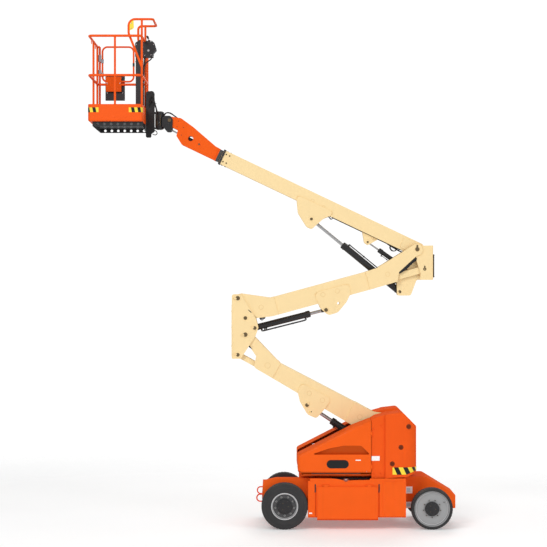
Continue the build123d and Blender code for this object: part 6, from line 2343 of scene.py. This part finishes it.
    def _gate(self) -> None:
        """Hinge screws, latch and weld rings of the gate."""
        hinge = Shape("gate_hinge_fittings", "platform")
        for z in (self.mid + 0.142, self.mid + 0.332):
            for dz in (-0.015, 0.015):
                hinge.turn([(0, 0.0045), (0.002, 0.0045), (0.003, 0.003)], (-2.452, 0.6090, z + dz),
                           (0, 1, 0), Coat.STEEL, 12)
        for z0, z1 in ((6.318, 6.376), (6.490, 6.590)):
            hinge.block((-2.5240, 0.5660, z0), (-2.4580, 0.5765, z1), Coat.GREY, 0.003)
            hinge.block((-2.4900, 0.5740, z0 + 0.008), (-2.4580, 0.6080, z1 - 0.008), Coat.GREY)
        hinge.done()
        gate = Shape("gate_latch", "gate")
        for z in (self.mid + 0.142 - 0.031, self.mid + 0.332 + 0.031):
            gate.turn([(-0.004, 0.0128), (-0.003, 0.0165), (0.003, 0.0165), (0.004, 0.0128)],
                      (-2.440, 0.593, z), UP, Coat.ORANGE_TUBE, 20, OPEN)
        gate.turn([(-0.025, 0.0126), (-0.023, 0.0150), (0.023, 0.0150), (0.025, 0.0126)],
                  (-1.996, 0.593, 6.45), UP, Coat.BLACK, 20, OPEN)
        gate.done()


# ---- the machine -----------------------------------------------------------------------------

SLOT_COATS = {"orange_paint": Coat.ORANGE, "orange_cast": Coat.ORANGE_CAST,
              "orange_moulding": Coat.ORANGE_SHELL, "ring_paint": Coat.RING,
              "cream_paint": Coat.CREAM, "black_paint": Coat.BLACK, "rod_chrome": Coat.CHROME,
              "tyre_rubber": Coat.RUBBER, "rim_dark": Coat.RIM_DARK, "rim_grey": Coat.RIM_GREY,
              "fly_paint": Coat.FLY, "pad_rubber": Coat.BUMPER, "dark_plastic": Coat.PLASTIC,
              "battery_case": Coat.BATTERY, "pack_paint": Coat.PACK, "hinge_grey": Coat.GREY}
TUBE_NODES = ("platform_basket", "gate")


def dress_frame() -> None:
    """Give every node of the frame the finish that its slot calls for."""
    for part in frame["record"]["subparts"]:
        name = part.get("node") or part["name"]
        node = frame["nodes"][name]
        coat = Coat.ORANGE_TUBE if name in TUBE_NODES else SLOT_COATS[part["material_slot"]]
        node.data.materials.clear()
        node.data.materials.append(coat.material)
        LOG.info("%s: %s", name, coat.value.label)


def machine() -> list:
    """Every sub-assembly of the machine.

    Returns:
        The sub-assemblies, in the order in which they are built.
    """
    parts: list = []
    for side in SIDES:
        word = WORD[side]
        parts.append(Wheel(f"rear_wheel_{word}", side, REAR_X, REAR_Z, 0.178, 0.700, 0.100, 9,
                           0.128, (0.160, 0.169), False))
        parts.append(Wheel(f"front_wheel_{word}", side, FRONT_X, FRONT_Z, 0.236, 0.708, 0.095, 9,
                           0.1185, (0.212, 0.221), True))
    parts += [Chassis(), Turntable(), Tower()]
    level_lug = LEVEL_PIN + Vector((0, 0, -0.120))
    parts.append(Cylinder("lower", LOWER.start + Vector((-0.223, 0, -0.503)), LOWER_LUG, 0.040,
                          0.024, 0.960, 0.022, 0.045, 0.036, -1.0))
    parts.append(Cylinder("mid", LOWER.at(2.540, 0) + MID_BASE, UPPER_LUG, 0.036, 0.022, 0.790,
                          0.022, 0.045, 0.036, -1.0, 0.006, 0.75))
    parts.append(Cylinder("lift", BOOM.start + LIFT_BASE, LIFT_LUG, 0.038, 0.022, 1.025, 0.022,
                          0.050, 0.036, 1.0, -0.004, 0.55))
    parts.append(Cylinder("master", BOOM.start + MASTER_BASE, MASTER_LUG, 0.023, 0.012, 0.465,
                          0.016, 0.030, 0.024, -1.0))
    parts.append(Cylinder("slave", SLAVE_LUG, level_lug, 0.021, 0.011, 0.320, 0.014, 0.030, 0.022,
                          -1.0))
    parts += [Boom(), PlatformHead(), Platform()]
    return parts


def main() -> None:
    """Build the studio, dress the frame and make every fitting."""
    logging.basicConfig(level=logging.INFO, format="%(name)s: %(message)s")
    Studio().build()
    dress_frame()
    for part in machine():
        part.build()


if __name__ == "__main__":
    main()
